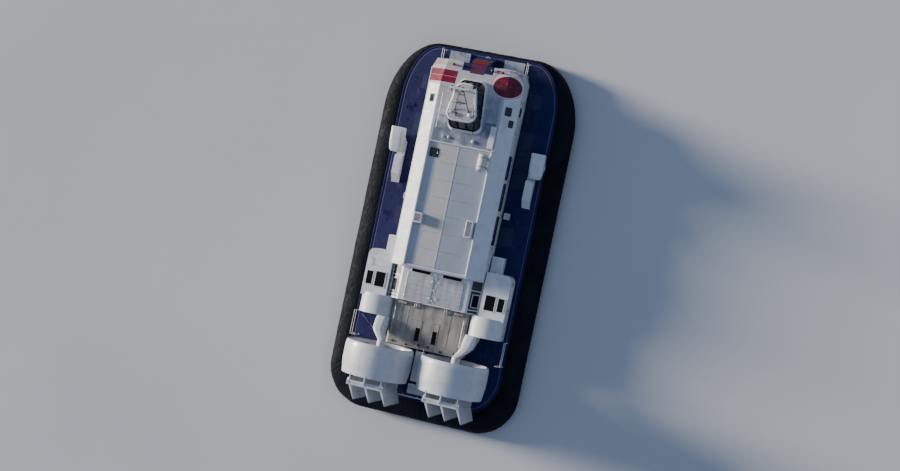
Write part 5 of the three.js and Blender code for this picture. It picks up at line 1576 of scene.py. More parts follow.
def engine_dressing(name):
    """A vee engine on top of the plain block: rocker covers, manifolds, inlet pipes and an air filter."""
    shape = Shape()
    low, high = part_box(f"engine_{name}")
    x, top = (low.x + high.x) / 2, high.z
    cover = ((0.10, -0.02), (0.36, -0.02), (0.34, 0.11), (0.27, 0.15), (0.15, 0.13))
    for side in (-1, 1):
        for y in spread(low.y + 0.12, high.y - 0.32, 6):
            shape.prism([(x + side * a, top + b) for a, b in cover], 1, y, y + 0.18)
            shape.knob((x + side * 0.24, y + 0.09, top + 0.13), 0.02, (0.018, 0.02), 0.022, UP, 1, 10)
        shape.tube([(x + side * 0.41, y, top - 0.1) for y in (low.y + 0.1, high.y - 0.1)], 0.05, 2, 14)
    shape.tube([(x, low.y + 0.08, top + 0.06), (x, high.y - 0.25, top + 0.06)], 0.07, 1, 16)
    inlet = ((0, 0.07), (0.12, 0.05), (0.18, -0.03))
    for y, side in itertools.product(spread(low.y + 0.2, high.y - 0.35, 6), (-1, 1)):
        shape.tube([(x + side * a, y, top + b) for a, b in inlet], 0.028, 1, 10)
    air_filter = [
        (0, 0), (0.2, 0), (0.2, 0.03), (0.17, 0.05), (0.17, 0.16), (0.2, 0.18), (0.2, 0.21), (0, 0.21)]
    shape.lathe(air_filter, (x, high.y - 0.16, top - 0.02), UP, 1, 26)
    return shape


def aft_fittings():
    """Exhaust outlets in the slots, pipes, coolers, panels and stiffeners on the aft casing."""
    shape = Shape()
    frame_section = [
        (-0.002, -0.05), (-0.002, 0.012), (0.006, 0.018), (0.03, 0.018), (0.036, 0.01), (0.036, -0.002)]
    outlet = [(0.035, 0), (0.06, 0), (0.06, 0.15), (0.052, 0.16), (0.048, 0.16), (0.045, 0.02), (0, 0.02)]
    for _, sign in SIDES:
        x = sign * 0.55
        rim(shape, (x - 0.15, 5.5), (x + 0.15, 6.8), upright(AFT_TOP), frame_section, 0, 0.01)
        # silencer box in the slot's front half, and cut-off pipes behind it
        shape.block((x - 0.145, 5.51, AFT_TOP - 0.06), (x + 0.145, 5.98, AFT_TOP + 0.012), 0, 0.008)
        for y in spread(6.12, 6.62, 4):
            shape.lathe(outlet, (x, y, AFT_TOP - 0.17), (0, 0.25, 1), 1, 16)
        for y in (4.75, 5.3, 6.95):
            shape.swage(y, AFT_TOP, 0.035, 0.028, 0.01, (sign * 0.08, sign * 2.28))
        x = sign * 1.35
        shape.block((x - 0.02, 4.8, AFT_TOP - SUNK), (x + 0.02, 6.9, AFT_TOP + 0.014), 0, 0.005)
        # oil cooler with its dark core
        shape.block((sign * 1.55, 4.52, AFT_TOP - SUNK), (sign * 2.1, 4.7, AFT_TOP + 0.16), 0, 0.02)
        shape.block((sign * 1.6, 4.7, AFT_TOP + 0.02), (sign * 2.05, 4.712, AFT_TOP + 0.13), 1, 0.002)
        # pipes from the casing
        path = [
            (sign * x, y, z) for x, y, z in
            ((0.9, 4.45, 2.52), (0.9, 4.62, 2.52), (0.92, 4.72, 2.48), (0.95, 4.8, 2.42))]
        shape.tube(path, 0.035, 2, 12)
        shape.tube([shifted(p, (sign * 0.12, 0, 0)) for p in path], 0.035, 2, 12)
        # access panels with their screws, small boxes, and a foot rail at the edge of the top
        low_x, high_x = width(sign, 1.5, 2.15)
        for y in (5.05, 5.75, 6.45):
            plate(shape, (low_x, y), (high_x, y + 0.45), upright(AFT_TOP), 0.008, 0, 0.05)
            for a, b in itertools.product((1.55, 2.1), (0.05, 0.4)):
                shape.knob((sign * a, y + b, AFT_TOP + 0.006), 0.014, (0.01, 0.006), 0.007, UP, 1)
        for a, y in ((2.0, 7.05), (1.1, 7.12), (0.3, 7.0)):
            x = sign * a
            shape.block((x - 0.07, y - 0.05, AFT_TOP - SUNK), (x + 0.07, y + 0.05, AFT_TOP + 0.07), 1, 0.01)
        shape.handle((sign * 2.2, 4.9, AFT_TOP), (sign * 2.2, 6.6, AFT_TOP), (0, 0, 0.12), 0.015, 2)
    return shape


def lift_grilles(shape, sign, head):
    """Framed inlet grilles over the well of a lift housing."""
    section = [(-0.003, -0.06), (-0.003, 0.02), (0.006, 0.028), (0.035, 0.028), (0.042, 0.02), (0.042, -0.002)]
    for inner, outer, front, rear, bars in ((3.23, 3.86, 3.08, 4.0, 8), (4.04, 4.44, 3.13, 3.95, 5)):
        low_x, high_x = width(sign, inner, outer)
        rim(shape, (low_x, front), (high_x, rear), upright(LIFT_TOP), section, 0, 0.03)
        for x in spread(low_x + 0.06, high_x - 0.06, bars):
            shape.block((x - 0.004, front, LIFT_TOP - 0.03), (x + 0.004, rear, LIFT_TOP + 0.004), 1, 0.001)
        middle = (front + rear) / 2
        shape.tube([(x, middle, LIFT_TOP - 0.012) for x in (low_x, high_x)], 0.008, 1, 6)
        for y, x in itertools.product((front - 0.02, rear + 0.02), (low_x - 0.02, high_x + 0.02)):
            shape.take(head, moved(x, y, LIFT_TOP + 0.026))


def arch_band(shape, centre_x, front, rear, proud, bevel, steps):
    """A band over the round volute, from deck to deck, between two places along Y."""
    paths = []
    for out in proud:
        side = VOLUTE_HALF + out
        paths.append([(side, 1.22), *arc((0, 1.9), (side, 0.88 + out), 0, 180, steps), (-side, 1.22)])
    shape.loft([
        [(centre_x + a, front, b), (centre_x + c, front + bevel, d), (centre_x + c, rear - bevel, d),
         (centre_x + a, rear, b)]
        for (a, b), (c, d) in zip(*paths)])


def volute_plating(shape, sign, head):
    """Rolled plating and straps over the volute, and its end flange with bolts and a plate."""
    centre_x = sign * 3.5325
    arch_band(shape, centre_x, 4.47, 5.694, (-SUNK, 0.004), 0.0, 56)
    for y in (4.62, 5.08, 5.56):
        arch_band(shape, centre_x, y - 0.035, y + 0.035, (0.002, 0.011), 0.005, 28)
    for a, b in arc((0, 1.9), (VOLUTE_HALF - 0.04, 0.84), 0, 180, 16):
        shape.take(head, Matrix.Translation((centre_x + a, 5.699, b)) @ Matrix.Rotation(-math.pi / 2, 4, "X"))
    plate(shape, (centre_x - 0.3, 1.35), (centre_x + 0.3, 1.85), endways(5.7, 1), 0.012, 0, 0.06)


def lift_lockers(shape, sign):
    """Doors and grips of the locker in front of a lift housing and of the housing's front face."""
    low_x, high_x = width(sign, 3.08, 3.67)
    plate(shape, (low_x, 0.8), (high_x, 1.62), upright(1.8), 0.012, 0, 0.05)
    low_x, high_x = width(sign, 3.1, 3.65)
    plate(shape, (low_x, 1.28), (high_x, 1.72), endways(0.7, -1), 0.01, 0, 0.04)
    shape.handle((sign * 3.3, 0.69, 1.5), (sign * 3.45, 0.69, 1.5), (0, -0.04, 0), 0.009, 1)
    low_x, high_x = width(sign, 3.2, 4.1)
    plate(shape, (low_x, 1.4), (high_x, 2.25), endways(1.7, -1), 0.01, 0, 0.05)
    for x in (3.3, 4.0):
        shape.handle((sign * x, 1.69, 1.7), (sign * x, 1.69, 1.85), (0, -0.05, 0), 0.01, 1)


def lift_fittings():
    """Inlet grilles, swages, side louvres, plating and doors on the lift housings."""
    shape = Shape()
    head = bolt(0.01, 0.008)
    frame_section = [
        (-0.01, 0.004), (-0.01, 0.012), (0.0, 0.018), (0.03, 0.018), (0.036, 0.01), (0.036, 0.004)]
    louvre = ((0, 0.02), (0.02, -0.022), (0.024, -0.018), (0.003, 0.026))
    for _, sign in SIDES:
        lift_grilles(shape, sign, head)
        for y in (1.95, 2.35, 2.75):
            shape.swage(y, LIFT_TOP, 0.03, 0.022, 0.008, (sign * 3.15, sign * 4.3))
        x, level = sign * 4.45, LIFT_TOP - SUNK
        shape.handle((x, 2.3, level), (x, 2.75, level), (0, 0, 0.07 + SUNK), 0.014)
        # louvred intake in the outer side
        face = sign * 4.6
        rim(shape, (2.3, 1.55), (3.6, 2.15), sideways(face, sign), frame_section, 0, 0.04)
        shape.block((face - sign * SUNK, 2.3, 1.55), (face + sign * 0.003, 3.6, 2.15), 1, 0.001)
        for z in spread(1.6, 2.1, 8):
            shape.prism([(face + sign * a, z + b) for a, b in louvre], 1, 2.32, 3.58)
        volute_plating(shape, sign, head)
        lift_lockers(shape, sign)
    return shape


FAIRING = [  # place along, inner and outer side, bottom and top
    (5.706, 2.47, 3.25, 1.205, 2.745), (5.95, 2.465, 3.235, 1.56, 2.98), (6.25, 2.465, 3.215, 2.06, 3.23),
    (6.5, 2.462, 3.175, 2.44, 3.39), (6.72, 2.39, 3.02, 2.68, 3.475), (6.93, 2.28, 2.80, 2.96, 3.575),
    (7.105, 2.185, 2.615, 3.20, 3.685),
]


def fairing(sign):
    """The drive's fairing, smooth from the casing up to the nacelle, with a band at every other station."""
    shape = Shape()

    def ring(station, grow=0.0, along=0.0, rise=0.0):
        y, inner, outer, bottom, top = station
        outline = rounded((inner, bottom), (outer, top), 0.35 * (outer - inner), grow, 8)
        return [(sign * a, y + along, b + rise * along) for a, b in outline]

    shape.loft([ring(station) for station in FAIRING])
    for i, rise in ((1, 0.875), (3, 0.875), (5, 0.7)):
        section = ((-0.004, -0.03), (0.006, -0.024), (0.006, 0.024), (-0.004, 0.03))
        shape.loft([ring(FAIRING[i], grow, along, rise) for grow, along in section])
    return shape


piece("engine_casing_fittings", casing_fittings(), [WHITE, DARK])
piece("aft_casing_fittings", aft_fittings(), [SOOTY, DARK, ALLOY])
piece("lift_housing_fittings", lift_fittings(), [WHITE, DARK])
for name, sign in SIDES:
    lid, skin = f"engine_hatch_{name}", f"drive_fairing_{name}"
    piece(f"{lid}_fittings", lid_fittings(sign), [HATCH_GREY, ALLOY], lid)
    piece(f"engine_{name}_dressing", engine_dressing(name), [DARK, ALLOY, RUST])
    piece(f"{skin}_skin", fairing(sign), [WHITE], replaces=[skin])


# Bow thrusters

THRUSTER_OUTSIDE = [  # place along, half width, bottom and top
    (0.779, 0.16, 1.60, 1.78), (0.765, 0.27, 1.50, 1.86), (0.72, 0.34, 1.43, 1.905),
    (0.62, 0.395, 1.395, 1.95), (0.4, 0.428, 1.388, 2.02), (0.15, 0.438, 1.388, 2.09),
    (-0.1, 0.44, 1.388, 2.135), (-0.3, 0.44, 1.40, 2.147), (-0.5, 0.438, 1.455, 2.149),
    (-0.7, 0.436, 1.525, 2.145), (-0.765, 0.43, 1.548, 2.14), (-0.779, 0.42, 1.56, 2.13),
]
THRUSTER_INSIDE = [
    (-0.779, 0.345, 1.63, 2.08), (-0.765, 0.335, 1.638, 2.075), (-0.6, 0.325, 1.645, 2.068),
    (-0.42, 0.31, 1.65, 2.06),
]
THRUSTER_PLACE = (4.52, -5.2)


def thruster():
    """One swivelling nozzle about its own axis: shell, mouth vanes, turntable skirt and seam strips."""
    shape = Shape()

    def corner(half, bottom, top):
        return min(0.2, 0.42 * (top - bottom), 0.45 * half)

    rings = []
    for y, half, bottom, top in THRUSTER_OUTSIDE + THRUSTER_INSIDE:
        radius = corner(half, bottom, top) if y > -0.7 else min(0.12, 0.3 * (top - bottom))
        rings.append([(a, y, b) for a, b in rounded((-half, bottom), (half, top), radius, 0, 7)])
    shape.loft(rings)
    # the inside is dark, the flat nose at the far end is not
    painted = len(THRUSTER_OUTSIDE) * len(rings[0])
    shape.finishes[painted:] = [1] * (len(shape.finishes) - painted)
    shape.finishes[-2] = 0
    vane = [(-0.745, 1.645), (-0.43, 1.655), (-0.43, 2.058), (-0.745, 2.065)]
    for x in spread(-0.24, 0.24, 5):
        shape.prism(vane, 0, x - 0.006, x + 0.006, 1)
    for z in (1.79, 1.93):
        section = [(-0.75, z - 0.004), (-0.62, z - 0.012), (-0.62, z + 0.012), (-0.75, z + 0.004)]
        shape.prism(section, 0, -0.33, 0.33, 1)
    shape.lathe([(0, 0.002), (0.38, 0.002), (0.385, 0.008), (0.38, 0.06), (0, 0.06)], (0, 0, 1.386), UP, 1, 40)
    # seam strips, the one behind the middle sloped with the shell's top
    for y, half, bottom, top in ((0.25, 0.434, 1.388, 2.062), (-0.45, 0.439, 1.44, 2.148)):
        band = []
        for grow, along in ((-0.003, -0.022), (0.0035, -0.018), (0.0035, 0.018), (-0.003, 0.022)):
            ring = rounded((-half, bottom), (half, top), corner(half, bottom, top), grow, 7)
            band.append([(a, y + along, b - 0.22 * along * (b > 1.75) * (y > 0)) for a, b in ring])
        shape.loft(band)
    return shape


def feed_fittings():
    """Access plates, bolted flanges and a foot strip on the thruster feeds."""
    shape = Shape()
    head = bolt(0.009, 0.007)
    for _, sign in SIDES:
        low_x, high_x = width(sign, 4.0, 4.5)
        plate(shape, (low_x + 0.08, -4.12), (high_x - 0.08, -3.3), upright(1.7), 0.008, 0, 0.05)
        for x, y in itertools.product((low_x + 0.11, high_x - 0.11), spread(-4.08, -3.34, 5)):
            shape.take(head, moved(x, y, 1.707))
        for face, out in ((low_x, -1), (high_x, 1)):
            plate(shape, (-4.1, 1.3), (-3.3, 1.6), sideways(face, out), 0.008, 0, 0.04)
        # flange under the turntable, with a ring of screws
        x, y = sign * THRUSTER_PLACE[0], THRUSTER_PLACE[1]
        shape.lathe([(0.43, 0), (0.444, 0.004), (0.444, 0.036), (0.43, 0.04)], (x, y, 1.3), UP, 0, 40)
        for angle in circle(18):
            away = Vector((math.cos(angle), math.sin(angle), 0))
            place = (x + 0.443 * math.cos(angle), y + 0.443 * math.sin(angle), 1.32)
            shape.knob(place, 0.013, (0.012, 0.008), 0.009, away, 1, 6)
        shape.block((low_x - 0.03, -2.63, DECK), (high_x + 0.03, -2.57, DECK + 0.016))
    return shape


nozzle = thruster()
for name, sign in SIDES:
    body = f"bow_thruster_{name}"
    placed = Shape().take(nozzle, moved(sign * THRUSTER_PLACE[0], THRUSTER_PLACE[1], 0))
    piece(f"{body}_nozzle", placed, [WHITE, DARK], body, [body])
piece("thruster_feed_fittings", feed_fittings(), [WHITE, ALLOY])


# Ducted propellers and rudders

DUCT_X, DUCT_AXIS = 2.4, 3.44  # X and Z of the axes
DUCT_FRONT = 7.35
NACELLE_REAR = 8.0
RUDDER_HINGE_Y = 9.85
RUDDER_TURN = 25  # degrees, as the photo shows them
DUCT_PROFILE = [  # radius, distance behind the front edge
    (1.94, 0.06), (1.96, 0.028), (1.985, 0.006), (2.012, 0.0), (2.04, 0.008), (2.064, 0.035), (2.084, 0.09),
    (2.1, 0.18), (2.112, 0.27), (2.1195, 0.38), (2.12, 0.8), (2.1195, 1.2), (2.106, 1.36), (2.087, 1.5),
    (2.05, 1.76), (2.022, 1.96), (2.01, 2.045), (2.0, 2.05), (1.97, 2.05), (1.96, 2.04), (1.945, 1.9),
    (1.92, 1.66), (1.902, 1.5), (1.9, 1.2), (1.9, 0.6), (1.903, 0.3), (1.915, 0.15),
]
DUCT_SEGMENTS = 112
LIP_PROFILE = [
    (2.046, 0.007), (2.014, -0.003), (1.981, 0.003), (1.955, 0.028), (1.96, 0.032), (1.988, 0.01),
    (2.012, 0.003), (2.042, 0.012),
]
WEAR_PROFILE = [(1.904, 0.6), (1.896, 0.61), (1.896, 1.2), (1.904, 1.21)]
SPINNER = [
    (0, 0.002), (0.248, 0.002), (0.25, 0.01), (0.25, 0.4), (0.247, 0.47), (0.232, 0.54), (0.2, 0.61),
    (0.155, 0.675), (0.1, 0.725), (0.045, 0.752), (0, 0.759),
]
TIP_STATIONS = slice(8, 11)
EDGE_STATIONS = slice(3, 11)
BLADE_STATIONS = [  # distance out, chord, thickness, pitch in degrees
    (0.15, 0.24, 0.055, 60), (0.3, 0.29, 0.05, 56), (0.45, 0.35, 0.04, 51), (0.62, 0.395, 0.03, 45),
    (0.85, 0.4, 0.026, 40), (1.05, 0.385, 0.021, 35.5), (1.25, 0.36, 0.018, 31), (1.45, 0.33, 0.015, 28),
    (1.65, 0.29, 0.012, 25), (1.78, 0.25, 0.01, 23.5), (1.84, 0.19, 0.008, 23), (1.849, 0.12, 0.006, 23),
]
RUDDER_CHORD, RUDDER_THICKNESS = 1.398, 0.118
RUDDER_NOSE = 0.3  # ahead of the hinge
RIB_PROUD = 0.003


def half_thickness(share, thickness):
    """Half of a symmetric section's thickness at a share of its chord."""
    slopes = 1.4845 * math.sqrt(share) - 0.63 * share
    return thickness * (slopes - 1.758 * share ** 2 + 1.4215 * share ** 3 - 0.5075 * share ** 4)


def airfoil(chord, thickness, steps):
    """A symmetric section, nose at 0 and tail at the chord, as (along, across) pairs."""
    shares = [(1 - math.cos(math.pi * k / steps)) / 2 for k in range(steps + 1)]
    upper = [(chord * s, half_thickness(s, thickness) + 0.002) for s in shares]
    return upper + [(a, -b) for a, b in reversed(upper)]


def hoop(shape, profile, finish=0):
    """A closed ring about the duct's axis, from (radius, distance behind the front edge) pairs."""
    shape.loft([
        [(r * math.cos(t), DUCT_FRONT + d, r * math.sin(t)) for t in circle(DUCT_SEGMENTS)]
        for r, d in profile], finish, loop=True)


def duct_shell(shape):
    """The ring itself, about its own axis, with hoops, splice strips and screws outside and an alloy lip."""
    hoop(shape, DUCT_PROFILE)
    for d in (0.34, 1.2):
        hoop(shape, [(2.112, d - 0.034), (2.127, d - 0.03), (2.127, d + 0.03), (2.112, d + 0.034)])
    outside = DUCT_PROFILE[9:18]
    section = ((-0.03, -0.006), (-0.026, 0.005), (0.026, 0.005), (0.03, -0.006))
    for k in range(12):
        angle = math.radians(15 + 30 * k)
        away = Vector((math.cos(angle), 0, math.sin(angle)))
        across = Vector((-math.sin(angle), 0, math.cos(angle)))
        places = [away * (r - 0.001) + Vector((0, DUCT_FRONT + d, 0)) for r, d in outside]
        shape.strap(places, across, away, section)
        for d in (0.45, 0.65, 0.85, 1.05, 1.3, 1.5, 1.7):
            a, b = next((a, b) for a, b in zip(outside, outside[1:]) if a[1] <= d <= b[1])
            r = a[0] + (b[0] - a[0]) * (d - a[1]) / (b[1] - a[1])
            place = away * (r + 0.003) + Vector((0, DUCT_FRONT + d, 0))
            shape.knob(place, 0.010, (0.007, 0.004), 0.005, away, 0, 6)
    hoop(shape, LIP_PROFILE, 1)


def duct_inside(shape):
    """Nacelle, struts and the wear band round the propeller."""
    nacelle = [
        (0, 7.112), (0.235, 7.112), (0.25, 7.13), (0.26, 7.2), (0.26, 7.93), (0.255, 7.985),
        (0.245, 7.999), (0, 7.999)]
    shape.lathe(nacelle, (0, 0, 0), AFT, 0, 48)
    for y in (7.3, 7.9):
        band = [(0.258, y - 0.02), (0.268, y - 0.016), (0.268, y + 0.016), (0.258, y + 0.02)]
        shape.lathe(band, (0, 0, 0), AFT, 0, 48)
    strut = Shape()
    section = airfoil(0.34, 0.07, 8)
    strut.loft([[(r, 7.56 + a, b) for a, b in section] for r in (0.2, 1.93)])
    for r, side in ((0.27, 1), (1.875, -1)):
        strut.block((r - 0.012, 7.53, -0.07), (r + 0.012, 7.93, 0.07))
        for y, z in itertools.product((7.56, 7.9), (-0.052, 0.052)):
            strut.knob((r + side * 0.011, y, z), 0.012, (0.01, 0.008), 0.009, (side, 0, 0), 1, 6)
    shape.take(strut, *[Matrix.Rotation(math.radians(turn), 4, "Y") for turn in (45, 135, 225, 315)])
    hoop(shape, WEAR_PROFILE, 1)


def duct_foot(shape):
    """The duct's saddle on the deck, with its bolted flange and webs."""
    low = DECK - DUCT_AXIS
    for grow, levels in ((0.0, (low + 0.001, low + 0.03)), (-0.05, (low + 0.02, low + 0.3))):
        outline = rounded((-0.76, 7.5), (0.76, 9.25), 0.12, grow, 5)
        shape.loft([[(*p, level) for p in outline] for level in levels])
    places = [*itertools.product(spread(-0.7, 0.7, 6), (7.526, 9.224)),
              *itertools.product((-0.735, 0.735), spread(7.7, 9.05, 6))]
    shape.take(bolt(), *[moved(*place, low + 0.03) for place in places])
    for x, y in itertools.product((-0.45, 0, 0.45), (7.54, 9.21)):
        shape.block((x - 0.012, y - 0.03, low + 0.03), (x + 0.012, y + 0.03, low + 0.26), 0, 0.004)


def rudder_frame(shape):
    """The bars above and below the rudders, with hole rims, bearings, brackets and stays to the ring."""
    for up, near, far in ((-1, 1.74 - 0.005, 1.64), (1, 5.14 + 0.005, 5.24)):
        base = near - DUCT_AXIS
        height = far - near - up * 0.005
        section = [(9.702, 0.0), (9.702, 0.8), (9.72, 1.0), (9.98, 1.0), (9.998, 0.8), (9.998, 0.0)]
        shape.prism([(y, base + height * share) for y, share in section], 0, -1.148, 1.148)
        hole = [(0, 0), (0.045, 0), (0.045, 0.004), (0.035, 0.002), (0, 0.002)]
        for x in spread(-0.9, 0.9, 7):
            shape.lathe(hole, (x, RUDDER_HINGE_Y, base + height), (0, 0, up), 1, 18)
        for x in (-1.0, 0, 1.0):
            place = (x, RUDDER_HINGE_Y, base + height - up * 0.003)
            shape.knob(place, 0.075, (0.07, 0.02), 0.022, (0, 0, up), 1, 20)
            inner, outer = base + height * 0.12, base + height * 0.88 + (up * 0.25 if x == 0 else 0.0)
            bracket = [(9.275, inner), (9.275, outer), (9.72, outer), (9.84, inner + 0.6 * (outer - inner)),
                       (9.84, inner)]
            shape.prism(bracket, 0, x - 0.036, x + 0.036)
            for y in (9.32, 9.45):
                shape.knob((x + 0.036, y, (inner + outer) / 2), 0.012, (0.01, 0.008), 0.009, (1, 0, 0), 1, 6)
    for side, up in itertools.product((-1, 1), (1, -1)):
        shape.tube([(side * 0.928, 9.36, up * 1.755), (side * 1.1, 9.75, up * 1.755)], 0.022, 1, 10)


def blade_ring(r, chord, thickness, pitch):
    """The outline of a blade's section, turned by its pitch about the line at two fifths of its chord."""
    angle = math.radians(pitch)
    section = [(a - chord * 0.4, b) for a, b in airfoil(chord, thickness, 9)]
    return [(a * math.cos(angle) - b * math.sin(angle), a * math.sin(angle) + b * math.cos(angle), r)
            for a, b in section]


def propeller():
    """Four wide blades with metal leading edges on a spinner, about the nacelle's rear face."""
    shape, blade = Shape(), Shape()
    shape.lathe(SPINNER, (0, 0, 0), AFT, 1, 48)
    shape.lathe([(0.249, 0.1), (0.254, 0.104), (0.254, 0.116), (0.249, 0.12)], (0, 0, 0), AFT, 1, 48)
    blade.loft([blade_ring(*station) for station in BLADE_STATIONS])
    # a painted tip, a little larger than the blade
    blade.loft([
        blade_ring(r, chord * 1.004, thickness * 1.12, pitch)
        for r, chord, thickness, pitch in BLADE_STATIONS[TIP_STATIONS]], 2)
    edge = []
    for station in BLADE_STATIONS[EDGE_STATIONS]:
        ring = blade_ring(*station)
        edge.append([Vector(ring[i]) + Vector((-0.0025, -0.0015, 0)) for i in (-3, -2, -1, 0, 1, 2)])
    blade.loft(edge, 3)
    for turn in (0, 90, 180, 270):
        shape.take(blade, Matrix.Rotation(math.radians(turn), 4, "Y") @ Matrix.Translation((0, 0.264, 0)))
    return shape


def rudder():
    """One rudder about its hinge: skin, ribs with screws, trim edge, pins and a control horn."""
    shape = Shape()
    low, high = 1.745 - DUCT_AXIS, 5.135 - DUCT_AXIS
    section = [(a - RUDDER_NOSE, b) for a, b in airfoil(RUDDER_CHORD, RUDDER_THICKNESS, 14)]
    shape.loft([[(b, a, z) for a, b in section] for z in (low, high)])
    rib = [(b + math.copysign(RIB_PROUD, b), a) for a, b in section]
    for z in spread(low + 0.035, high - 0.035, 7):
        shape.loft([[(*p, z + up) for p in rib] for up in (-0.022, -0.018, 0.018, 0.022)])
        for a in (-0.15, 0.1, 0.35, 0.6, 0.85):
            half = half_thickness((a + RUDDER_NOSE) / RUDDER_CHORD, RUDDER_THICKNESS)
            for side in (1, -1):
                shape.knob((side * (half + 0.004), a, z), 0.008, (0.006, 0.003), 0.004, (side, 0, 0), 1, 6)
    shape.block((-0.006, 1.03, low + 0.01), (0.006, 1.096, high - 0.01), 1, 0.002)
    for z, up in ((low, -1), (high, 1)):
        shape.lathe([(0, -0.05), (0.033, -0.05), (0.033, 0.0045), (0, 0.0045)], (0, 0, z), (0, 0, up), 1, 18)
    horn = [(0.0, 0.1), (0.13, 0.16), (0.15, 0.2), (0.13, 0.24), (0.0, 0.3)]
    shape.prism(horn, 2, low + 0.25, low + 0.262, 1)
    return shape


def gangway():
    """A narrow gangway between the ducts, with ladders from the aft casing's top and the stern deck."""
    shape = Shape()
    half, front, rear, top = 0.25, 7.32, 9.16, 2.9
    for x in (-half, half):
        shape.block((x - 0.018, front, top - 0.1), (x + 0.018, rear, top + 0.012), 0, 0.004)
    shape.block((0.012 - half, front + 0.01, top - 0.03), (half - 0.012, rear - 0.01, top - 0.012))
    for y in spread(front + 0.05, rear - 0.05, 25):
        shape.block((0.015 - half, y - 0.012, top - 0.014), (half - 0.015, y + 0.012, top), 0, 0.003)
    leg_x = half - 0.03
    for y in (front + 0.3, (front + rear) / 2, rear - 0.12):
        for x in (-leg_x, leg_x):
            shape.tube([(x, y, DECK + 0.002), (x, y, top - 0.09)], 0.025, 0, 10)
            shape.knob((x, y, DECK + 0.001), 0.065, (0.065, 0.012), 0.014, UP, 0, 16)
        shape.block((-half, y - 0.02, top - 0.1), (half, y + 0.02, top - 0.028), 0, 0.004)
        shape.tube([(-leg_x, y, DECK + 0.12), (leg_x, y, top - 0.12)], 0.014)
        shape.block((-leg_x, y - 0.012, 2.02), (leg_x, y + 0.012, 2.06), 0, 0.004)
    # each ladder: where it stands, where it leans on the gangway, and its number of rungs
    ladders = ((7.14, AFT_TOP + SUNK, front + 0.02, 2), (rear + 0.05, DECK + SUNK, rear - 0.02, 6))
    for stand_y, low, head_y, rungs in ladders:
        for x in (-0.2, 0.2):
            shape.tube([(x, stand_y, low), (x, stand_y, top - 0.06), (x, head_y, top - 0.02)], 0.017, 1, 10)
        for z in spread(low, top, rungs + 2)[1:-1]:
            shape.tube([(-0.2, stand_y, z), (0.2, stand_y, z)], 0.013, 1)
    return shape


ring = Shape()
for build in (duct_shell, duct_inside, duct_foot, rudder_frame):
    build(ring)
blades, rudder_skin = propeller(), rudder()
for name, sign in SIDES:
    duct, body, x = f"duct_{name}", f"propeller_{name}", sign * DUCT_X
    placed = Shape().take(ring, moved(x, 0, DUCT_AXIS))
    piece(f"{duct}_ring", placed, [SHADED_DUCT_WHITE, ALLOY], replaces=[duct])
    placed = Shape().take(blades, moved(x, NACELLE_REAR, DUCT_AXIS))
    piece(f"{body}_blades", placed, [BLADE_GREY, BLACK, BLADE_TIP, ALLOY], body, [body])
    for number in RUDDERS:
        body = f"rudder_{name}_{number}"
        placed = Shape().take(rudder_skin, moved(x + number - 2, RUDDER_HINGE_Y, DUCT_AXIS, RUDDER_TURN))
        piece(f"{body}_skin", placed, [SHADED_DUCT_WHITE, ALLOY], body, [body])
piece("duct_gangway", gangway(), [SHADED_DUCT_WHITE, ALLOY])


# Seats: each kind of cushion is sewn and blown up once, then set out in its rows

DRAW_IN = 0.03  # how far a cushion's sides pull in between its corners, as a share of its half size
PRESSURE = 4
CLOTH_FRAMES = 20


def cushion_form(half, radius, cuts):
    """A round-edged box as an object, its sides drawn in between its corners."""
    work = bmesh.new()
    bmesh.ops.create_cube(work, size=2)
    bmesh.ops.subdivide_edges(work, edges=work.edges[:], cuts=cuts, use_grid_fill=True)
    core = Vector([h - radius for h in half])
    for vert in work.verts:
        u, v, w = vert.co
        flat = Vector((u * half[0], v * half[1], w * half[2]))
        inner = Vector([max(-c, min(c, p)) for p, c in zip(flat, core)])
        place = inner + (flat - inner).normalized() * radius
        place.x *= 1 - DRAW_IN * (1 - v * v) * (1 - w * w)
        place.y *= 1 - DRAW_IN * (1 - u * u) * (1 - w * w)
        place.z *= 0.90 + 0.10 * (1 - u * u) * (1 - v * v)
        vert.co = place
    mesh = bpy.data.meshes.new("cushion_form")
    work.to_mesh(mesh)
    work.free()
    form = bpy.data.objects.new("cushion_form", mesh)
    bpy.context.scene.collection.objects.link(form)
    return form


def swell(form, cap):
    """Runs the form as cloth with pressure inside, and lets no point move further than cap."""
    start = [vert.co.copy() for vert in form.data.vertices]
    cloth = form.modifiers.new("stuffing", "CLOTH")
    cloth.settings.use_pressure = True
    cloth.settings.uniform_pressure_force = PRESSURE
    cloth.settings.bending_stiffness = 2.0
    cloth.settings.effector_weights.gravity = 0
    cloth.point_cache.frame_end = CLOTH_FRAMES
    for frame_number in range(1, CLOTH_FRAMES + 1):
        bpy.context.scene.frame_set(frame_number)
    swollen = form.evaluated_get(bpy.context.evaluated_depsgraph_get()).data
    moves = [after.co - before for after, before in zip(swollen.vertices, start)]
    form.modifiers.remove(cloth)
    for vert, before, move in zip(form.data.vertices, start, moves):
        vert.co = before + move * min(1.0, cap / max(move.length, 1e-6))
    bpy.context.scene.frame_set(1)


def cushion(half, radius, cuts, cap, smooth=False):
    form = cushion_form(half, radius, cuts)
    swell(form, cap)
    if smooth:
        form.modifiers.new("smooth", "SUBSURF").levels = 1
        bpy.context.view_layer.update()
    made = form.evaluated_get(bpy.context.evaluated_depsgraph_get()).data
    shape = Shape()
    faces = [list(face.vertices) for face in made.polygons]
    shape.add([vert.co for vert in made.vertices], faces, [0] * len(faces))
    bpy.data.objects.remove(form)
    return shape


def welt(half, radius, level, grow=0.0):
    """The piping sewn round a cushion's edge."""
    shape = Shape()
    outline = rounded((-half[0], -half[1]), (half[0], half[1]), radius + 0.015, grow, 3)
    path = [
        (a * (1 - DRAW_IN * (1 - (b / half[1]) ** 2)), b * (1 - DRAW_IN * (1 - (a / half[0]) ** 2)), level)
        for a, b in outline]
    shape.tube(path, 0.0045, 0, 5, loop=True)
    return shape


